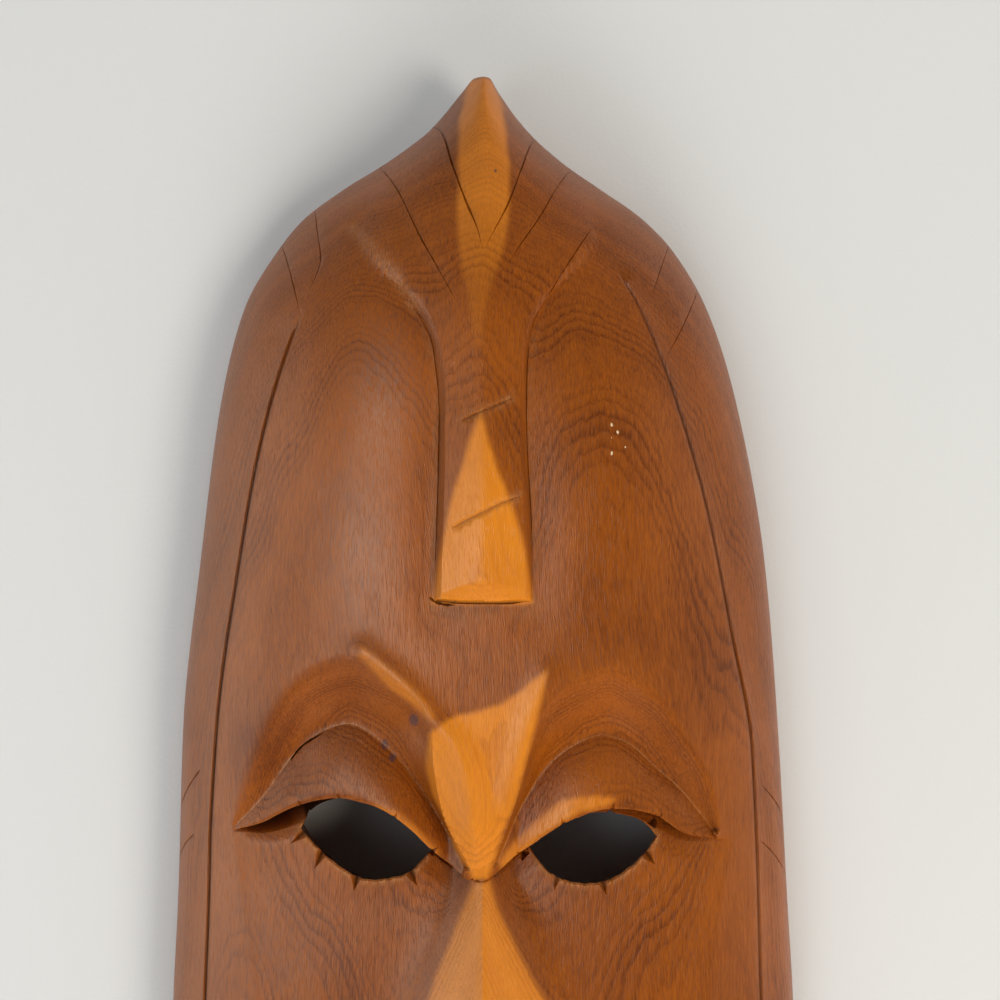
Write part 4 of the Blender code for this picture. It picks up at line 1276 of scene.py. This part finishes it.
class Finish:
    """A material's nodes."""

    def __init__(self, name):
        self.material = bpy.data.materials.new(name)
        self.material.use_nodes = True
        self.tree = self.material.node_tree
        self.shader = self.tree.nodes["Principled BSDF"]

    def node(self, kind, settings=None, inputs=None):
        """Any node: its settings first, then the values or links of its sockets."""
        made = self.tree.nodes.new(kind)
        for name, setting in (settings or {}).items():
            setattr(made, name, setting)
        for name, value in (inputs or {}).items():
            self.feed(made.inputs[name], value)
        return made

    def feed(self, socket, value):
        if isinstance(value, Value):
            value = value.socket
        if isinstance(value, bpy.types.NodeSocket):
            self.tree.links.new(value, socket)
        elif socket.type == "RGBA" and len(value) == 3:
            socket.default_value = (*value, 1.0)
        else:
            socket.default_value = value

    def value(self, kind, settings=None, inputs=None, output=0):
        return Value(self, self.node(kind, settings, inputs).outputs[output])

    def mixed(self, share, first, second):
        """A colour between two colours."""
        made = self.node("ShaderNodeMix", {"data_type": "RGBA"})
        self.feed(made.inputs[0], share)
        self.feed(made.inputs[6], first)
        self.feed(made.inputs[7], second)
        return made.outputs[2]

    def scaled(self, vector, by):
        """A vector with each of its parts multiplied."""
        made = self.node("ShaderNodeVectorMath", {"operation": "MULTIPLY"})
        self.feed(made.inputs[0], vector)
        self.feed(made.inputs[1], by)
        return made.outputs[0]

    def millimetres(self):
        """Places on the piece in mm."""
        return self.scaled(self.node("ShaderNodeTexCoord").outputs["Object"], (1000.0, 1000.0, 1000.0))

    def noise(self, vector, size, detail=2.0, rough=0.5):
        """Noise with lumps of that size in mm."""
        vector = self.scaled(vector, [1.0 / part for part in size])
        inputs = {"Vector": vector, "Scale": 1.0, "Detail": detail, "Roughness": rough}
        return self.value("ShaderNodeTexNoise", {"noise_dimensions": "3D"}, inputs, "Fac")

    def bands(self, along, detail, rough):
        inputs = {"W": along, "Scale": 1.0, "Detail": detail, "Roughness": rough}
        return self.value("ShaderNodeTexNoise", {"noise_dimensions": "1D"}, inputs, "Fac")

    def attribute(self, name):
        return self.value("ShaderNodeAttribute", {"attribute_name": name}, None, "Fac")


# The loop of grain on the left of the forehead: (across, along), its half sizes, and how high it is.
LOOP_PLACE = (-33.5, 131.0)
LOOP_SIZE = (8.5, 27.0)
LOOP_HIGH = 3.4
# The rings of the tree: how far apart they are, and how far apart the strong ones and the broad bands are.
RING_APART = 0.62
STRONG_APART = 2.9
BROAD_APART = 4.2
RING_BEND = 240.0
RING_TILT = 0.025
RING_WANDER = (8.0, 1.7)
FLOW_WANDER = 12.0
SHEEN_TINT = (1.0, 0.93, 0.76, 1.0)


def wood_finish(colours):
    """Waxed heartwood and sapwood, with its rings, fibres and stains, the dark wax and painted shade in the
    cuts, and painted patches of light, shade and sheen.
    """
    wood = Finish("waxed_wood")
    mm = wood.millimetres()
    parts = wood.node("ShaderNodeSeparateXYZ", None, {0: mm}).outputs
    across, along, up = (Value(wood, part) for part in parts)

    slow = wood.noise(mm, (38.0, 70.0, 38.0), 1.0)
    quick = wood.noise(mm, (9.0, 21.0, 9.0), 3.0)
    bent = across + (slow - 0.5) * FLOW_WANDER
    flow = wood.node("ShaderNodeCombineXYZ", None, {0: bent, 1: along, 2: up}).outputs[0]
    fibre = wood.noise(flow, (0.5, 8.0, 0.6), 3.0, 0.65)
    hair = wood.noise(flow, (0.22, 2.6, 0.24), 1.0)
    pores = wood.noise(flow, (0.26, 3.0, 0.3), 0.0).step(0.56, 0.78)
    mottle = wood.noise(mm, (15.0, 26.0, 15.0))

    loop = ((across - LOOP_PLACE[0]) / LOOP_SIZE[0]) ** 2.0
    loop = loop + ((along - LOOP_PLACE[1]) / LOOP_SIZE[1]) ** 2.0
    wander = (slow - 0.5) * RING_WANDER[0] + (quick - 0.5) * RING_WANDER[1]
    ring = up + across * across / RING_BEND - along * RING_TILT + wander
    ring = ring + LOOP_HIGH / (loop + 1.0)
    phase = (ring / RING_APART + (fibre - 0.5) * 0.7).fraction()
    late = ((phase - 0.3) / 0.6).clamped() ** 1.5 * (1.0 - phase.step(0.88, 1.0))
    strong = wood.bands(ring / STRONG_APART, 1.0, 0.5).step(0.3, 0.75)
    broad = wood.bands(ring / BROAD_APART, 2.0, 0.6).step(0.3, 0.7)
    line = late * (strong * 0.8 + 0.2)

    # Painted shade: the wood grows a little darker towards the right side, and the painted patches of light
    # and shade are added.
    tone = line * 0.46 + broad * 0.22 + fibre * 1.15 + hair * 0.85 + pores * 0.2
    tone = tone + (mottle - 0.5) * 0.5 + across * 0.0012 - 0.83 + wood.attribute("painted_light_shade")
    heart = wood.mixed(tone.clamped(), colours.heart_light[:], colours.heart_dark[:])
    sap_tone = line * 0.42 + broad * 0.15 + fibre * 0.6 + hair * 0.4 + (mottle - 0.5) * 0.4 - 0.31
    sap = wood.mixed(sap_tone.clamped(), colours.sap_light[:], colours.sap_dark[:])

    edge = wood.attribute("sap_inside") + (quick - 0.5) * 1.8 + (fibre - 0.5) * 1.4
    colour = wood.mixed(edge.step(-1.1, 1.0) * wood.attribute("sap_strength"), heart, sap)
    for spots, tint, much in ((STAINS, colours.stain, 0.75), (CHIPS, colours.chip, 0.9)):
        for x, down, radius in spots:
            longer = (along - (LENGTH / 2.0 - down)) * 0.7
            off = ((across - x) ** 2.0 + longer**2.0) ** 0.5 / radius + (hair - 0.5) * 1.2
            colour = wood.mixed((1.0 - off.step(0.5, 1.0)) * much, colour, tint[:])
    # Painted sheen: pale patches where the face catches the light.
    sheen_patch = wood.attribute("painted_sheen") * (hair * 0.5 + fibre * 0.5).step(0.3, 0.66)
    colour = wood.mixed(sheen_patch, colour, colours.painted_sheen[:])
    scratch = wood.attribute("crease_off")
    scratch = (1.0 - abs(scratch + (quick - 0.5) * 0.5) / 0.3).clamped() * hair.step(0.35, 0.6)
    fuzz = wood.attribute("fuzz") * (hair * 0.6 + fibre * 0.4).step(0.42, 0.62)
    pale = (scratch * 0.55 + fuzz * 0.6).clamped()
    colour = wood.mixed(pale, colour, colours.scratched[:])
    # Dark old wax and painted shade in the cuts, the nicks and the eye holes.
    colour = wood.mixed(wood.attribute("wax_and_painted_shade"), colour, colours.cut_wax_and_shade[:])
    wood.feed(wood.shader.inputs["Base Color"], colour)

    wax = (fibre - 0.5) * 0.2 + (mottle - 0.5) * 0.1 + pale * 0.2 + colours.roughness
    wood.feed(wood.shader.inputs["Roughness"], wax)
    relief = fibre * 0.6 + hair * 0.6 - line * 0.2 - pores * 0.5 + fuzz * 0.8
    bump = wood.node("ShaderNodeBump", None, {"Strength": 0.6, "Distance": 0.00015, "Height": relief})
    wood.feed(wood.shader.inputs["Normal"], bump.outputs[0])
    wood.shader.inputs["Specular IOR Level"].default_value = 0.5
    wood.shader.inputs["Specular Tint"].default_value = SHEEN_TINT
    return wood.material


def outline_distance(across, down, loop):
    """Distance in mm to a closed outline, positive inside it."""
    loop = np.array(loop)
    length = apart(across, down, np.concatenate([loop, loop[:1]]))
    return np.where(within(across, down, loop), length, -length)


class CARVING_OT_wood_finish(bpy.types.Operator):
    """Smooth the carved mask, mark its sapwood, its cuts and its painted light, shade and sheen, and finish
    it with waxed wood
    """
    bl_idname = "carving.wood_finish"
    bl_label = "Finish the wood"

    def execute(self, context):
        obj = bpy.data.objects[PIECE]
        across, down, up = face_places(points_of(obj))
        down = np.clip(down, 0.0, LENGTH)
        sizes = context.scene.mask_sizes
        deep = smoothed(across, down, sizes) - up
        self.mark_sapwood(obj, across, down, deep)
        # Dark old wax and painted shade, deeper in the deeper cuts.
        add_values(obj, "wax_and_painted_shade", self.wax_and_painted_shade(across, down, up, sizes))
        self.mark_scratches(obj, across, down, deep)
        # Patches of painted light, shade and sheen.
        self.mark_painted_light(obj, across, down)
        only(obj)
        bpy.ops.object.shade_smooth_by_angle(angle=np.radians(32.0))
        obj.data.materials.clear()
        obj.data.materials.append(wood_finish(context.scene.mask_colours))
        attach(obj, "root")
        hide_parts("mask")
        return {"FINISHED"}

    def mark_sapwood(self, obj, across, down, deep):
        inside = np.full(len(across), FAR_OUTSIDE)
        strength = np.ones(len(across))
        for name, loop in SAPWOOD.items():
            here = outline_distance(across, down, loop)
            strength = np.where(here > inside, SAP_STRENGTH[name], strength)
            inside = np.maximum(inside, here)
        faint = blend(*SAP_FAINT_FROM, down) * (1.0 - blend(*SAP_FAINT_TO, down))
        strength = strength * (1.0 - SAP_FAINT * faint)
        add_values(obj, "sap_inside", np.where(deep > -FAR_OUTSIDE, FAR_OUTSIDE, inside))
        add_values(obj, "sap_strength", strength)

    def mark_painted_light(self, obj, across, down):
        # Painted light and shade: patches darker where shade falls and lighter where light shines off.
        total = np.zeros(len(across))
        for at_across, at_down, radius, darker in PAINTED_LIGHT_SHADE:
            total += darker * swell(across - at_across, down - at_down, (radius, radius))
        add_values(obj, "painted_light_shade", total)
        # Painted sheen on the left of the face and the nose.
        pale = np.zeros(len(across))
        for at_across, at_down, wide, long, much in PAINTED_SHEEN:
            pale += much * swell(across - at_across, down - at_down, (wide, long))
        add_values(obj, "painted_sheen", pale)

    def wax_and_painted_shade(self, across, down, up, sizes):
        """How much dark old wax and painted shade there is at every point of the cuts and the holes."""
        base = smoothed(across, down, sizes)
        under = front(across, down, lid=False)
        edge = half_width(across, down) - np.abs(across)
        cut_off = base - up
        below_face = under - up
        low = ((cut_off > 0.05) | (below_face > 0.05)) & (edge > 0.4)
        low &= np.minimum(cut_off, below_face) < BACK_DEEP
        x, d, deep, below = across[low], down[low], cut_off[low], below_face[low]
        dark = np.zeros(len(x))
        # The knife cuts are darkened with depth: old wax and painted shade.
        for points, wide, _deep, much in STRANDS.values():
            near = apart(x, d, drawn(points, KNIFE_STEPS)) < wide * 0.8 + 0.15
            dark = np.maximum(dark, near * much * blend(0.03, 0.4, deep))
        # The side grooves are darkened along their bottom: old wax and painted shade.
        off = np.abs(np.abs(x) - groove_across(x, d))
        start = np.where(x < 0.0, *GROOVE_STARTS)
        much = np.where(x < 0.0, 0.8, 0.55) * (0.3 + 0.7 * blend(start + 8.0, start + 45.0, d))
        dark = np.maximum(dark, (off < 1.2) * much * blend(0.2, 1.0, deep))
        # The cut under each lid is darkened: old wax and painted shade.
        for name, stations in LID_CUT.items():
            line = drawn(EYES[name]["margin"], LID_STEPS)
            to_margin = apart(x, d, line)
            wide, much = (through(column(stations, n), np.abs(x)) for n in (1, 3))
            beyond = d > line_down(line, x) - 0.15
            side = (x < 0.0) == (name == "left")
            in_cut = beyond & (to_margin < wide + 0.3) & side
            dark = np.maximum(dark, in_cut * much * blend(0.05, 0.9, below))
            # The walls of the eye holes are painted dark as shade.
            wall = np.abs(outline_distance(x, d, hole_outline(name))) < HOLE_FLARE + 0.3
            dark = np.maximum(dark, wall * HOLE_WALL_SHADE[name] * blend(0.6, 2.2, deep))
        # The nicks round the eyes are painted dark as shade.
        for start, end in LASHES:
            near = apart(x, d, np.array([start, end])) < 1.6
            much = LASH_SHADE["left" if start[0] < 0.0 else "right"]
            dark = np.maximum(dark, near * much * blend(0.1, 1.0, deep))
        found = np.zeros(len(across))
        found[low] = dark
        return found

    def mark_scratches(self, obj, across, down, deep):
        """Where the tools left the wood fuzzy, and how far each point is from the lids' creases."""
        top = deep < 1.5
        crease = np.full(len(across), 3.0)
        for lines in EYES.values():
            line = drawn(lines["crease"])
            above = np.where(down < line_down(line, across), 1.0, -1.0)
            to_line = apart(across, down, line) * above
            crease = np.where(np.abs(to_line) < np.abs(crease), to_line, crease)
        add_values(obj, "crease_off", np.where(top, crease, 3.0))
        half = sided(CREST, across, down)
        beside = np.exp(-(((np.abs(across) - half - 0.8) / 1.1) ** 2)) * blend(62.0, 70.0, down)
        fuzz = FUZZ["beside_crest"] * beside * (down < CREST_END)
        foot = (1.0 - blend(11.0, 16.0, np.abs(across))) * (1.0 - blend(1.0, 7.0, down - CREST_END))
        fuzz = np.maximum(fuzz, FUZZ["crest_foot"] * foot * (down > CREST_END))
        stroke = np.clip(1.0 - (apart(across, down, drawn(PALE_STROKE)) / 2.0) ** 2, 0.0, 1.0)
        fuzz = np.maximum(fuzz, FUZZ["pale_stroke"] * stroke)
        for name in ("gouge_upper", "gouge_lower"):
            near = apart(across, down, drawn(STRANDS[name][0], KNIFE_STEPS))
            fuzz = np.maximum(fuzz, FUZZ["gouge"] * np.clip(1.2 - near / 1.3, 0.0, 1.0))
        for name, lines in EYES.items():
            below = down > line_down(drawn(lines["margin"], LID_STEPS), across) + FUZZ_BELOW_LID
            rim = -outline_distance(across, down, hole_outline(name))
            rim = np.clip(1.0 - np.abs(rim - 0.3) / 1.3, 0.0, 1.0)
            fuzz = np.maximum(fuzz, FUZZ["hole_rim"] * rim * below)
        add_values(obj, "fuzz", fuzz * top)


# The lamps: name, place in metres, size, power, colour, and whether each gives shade, sheen or both.
LIT_PLACE = (0.0, 0.08, 0.03)
WARM, WINDOW, COOL, WHITE = (1.0, 0.90, 0.765), (0.85, 0.92, 1.0), (0.88, 0.94, 1.0), (1.0, 1.0, 1.0)
LAMPS = [
    ("key_light", (0.86, -0.28, 1.18), (0.5, 0.5), 8.1, WARM, "shade"),
    ("high_window_light", (-0.78, -0.28, 1.25), (0.5, 0.9), 2.5, WINDOW, "shade"),
    ("side_fill", (1.25, 0.08, 0.36), (1.1, 0.5), 1.4, (1.0, 0.94, 0.85), "both"),
    ("front_fill", (0.0, -1.10, 0.62), (0.9, 0.5), 9.0, (1.0, 0.98, 0.95), "shade"),
    ("top_fill", (0.0, 1.25, 0.72), (0.9, 0.5), 3.0, WHITE, "shade"),
    ("high_sheen", (-0.52, 0.04, 1.32), (0.45, 0.9), 7.4, (0.86, 0.93, 1.0), "sheen"),
    ("low_sheen", (-1.30, 0.00, 0.34), (1.5, 0.6), 8.0, COOL, "sheen"),
]
# The room gives less light from straight above than from its walls.
ROOM_COLOUR = (0.97, 1.0, 1.0, 1.0)
ROOM_FADE = {"From Min": 0.5, "From Max": 0.85, "To Min": 0.60, "To Max": 0.05}
CAMERA_PLACE = (0.0041, 0.1021, 0.400)
CAMERA_SENSOR = 36.0
CAMERA_LENS = 53.5


def area_light(name, place, aim, size, power, colour):
    to_object_mode()
    bpy.ops.object.light_add(type="AREA", location=place)
    lamp = bpy.context.object
    lamp.name = name
    lamp.data.name = name
    lamp.data.shape = "RECTANGLE"
    lamp.data.size, lamp.data.size_y = size
    lamp.data.energy = power
    lamp.data.color = colour
    way = np.array(aim) - np.array(place)
    lamp.rotation_euler = Vector(way).to_track_quat("-Z", "Y").to_euler()
    return lamp


class CARVING_OT_table_and_light(bpy.types.Operator):
    """Lay the pale table, set the lights round it and the camera over the mask"""
    bl_idname = "carving.table_and_light"
    bl_label = "Set the table and the lights"

    def execute(self, context):
        self.table(context.scene.mask_colours)
        for name, place, size, power, colour, gives in LAMPS:
            lamp = area_light(name, place, LIT_PLACE, size, power, colour)
            lamp.visible_glossy = gives != "shade"
            lamp.visible_diffuse = gives != "sheen"
        world = bpy.data.worlds.new("pale_room")
        world.use_nodes = True
        tree = world.node_tree
        tree.nodes["Background"].inputs["Color"].default_value = ROOM_COLOUR
        up = tree.nodes.new("ShaderNodeSeparateXYZ")
        tree.links.new(tree.nodes.new("ShaderNodeTexCoord").outputs["Generated"], up.inputs[0])
        fade = tree.nodes.new("ShaderNodeMapRange")
        fade.interpolation_type = "SMOOTHSTEP"
        for name, value in ROOM_FADE.items():
            fade.inputs[name].default_value = value
        tree.links.new(up.outputs[2], fade.inputs["Value"])
        tree.links.new(fade.outputs["Result"], tree.nodes["Background"].inputs["Strength"])
        world.cycles_visibility.glossy = False
        context.scene.world = world
        bpy.ops.object.camera_add(location=CAMERA_PLACE, rotation=(0.0, 0.0, 0.0))
        camera = context.object
        camera.name = "overhead_camera"
        camera.data.sensor_width = CAMERA_SENSOR
        camera.data.lens = CAMERA_LENS
        camera.data.clip_start = 0.01
        context.scene.camera = camera
        context.scene.view_settings.view_transform = "Standard"
        return {"FINISHED"}

    def table(self, colours):
        floor = grid("pale_table", 2, 2)
        corners = np.array([(-1.0, -1.0), (1.0, -1.0), (-1.0, 1.0), (1.0, 1.0)]) * 3.0
        move_points(floor, np.column_stack([corners, np.zeros(4)]))
        top = Finish("pale_table")
        grain = top.noise(top.millimetres(), (1.1, 1.1, 1.1), 3.0, 0.55)
        top.feed(top.shader.inputs["Base Color"], colours.table[:])
        top.shader.inputs["Roughness"].default_value = 0.55
        bump = top.node("ShaderNodeBump", None, {"Strength": 0.25, "Distance": 0.0003, "Height": grain})
        top.feed(top.shader.inputs["Normal"], bump.outputs[0])
        floor.data.materials.append(top.material)


class CARVING_PT_mask(bpy.types.Panel):
    bl_label = "Carved mask"
    bl_space_type = "VIEW_3D"
    bl_region_type = "UI"
    bl_category = "Mask"

    def draw(self, context):
        for group in (context.scene.mask_sizes, context.scene.mask_colours):
            for name in group.__annotations__:
                self.layout.prop(group, name)
        for step in STEPS:
            self.layout.operator(step.bl_idname)


STEPS = (
    CARVING_OT_face_blank,
    CARVING_OT_hollow_back,
    CARVING_OT_eye_holes,
    CARVING_OT_lid_edges,
    CARVING_OT_knife_lines,
    CARVING_OT_wood_finish,
    CARVING_OT_table_and_light,
)
CLASSES = (MaskSizes, MaskColours, *STEPS, CARVING_PT_mask)


def register():
    for made in CLASSES:
        bpy.utils.register_class(made)
    bpy.types.Scene.mask_sizes = bpy.props.PointerProperty(type=MaskSizes)
    bpy.types.Scene.mask_colours = bpy.props.PointerProperty(type=MaskColours)


def unregister():
    del bpy.types.Scene.mask_colours
    del bpy.types.Scene.mask_sizes
    for made in reversed(CLASSES):
        bpy.utils.unregister_class(made)


def main():
    register()
    bpy.ops.carving.face_blank()
    bpy.ops.carving.hollow_back()
    bpy.ops.carving.eye_holes()
    bpy.ops.carving.lid_edges()
    bpy.ops.carving.knife_lines()
    bpy.ops.carving.wood_finish()
    bpy.ops.carving.table_and_light()


if __name__ == "__main__":
    main()
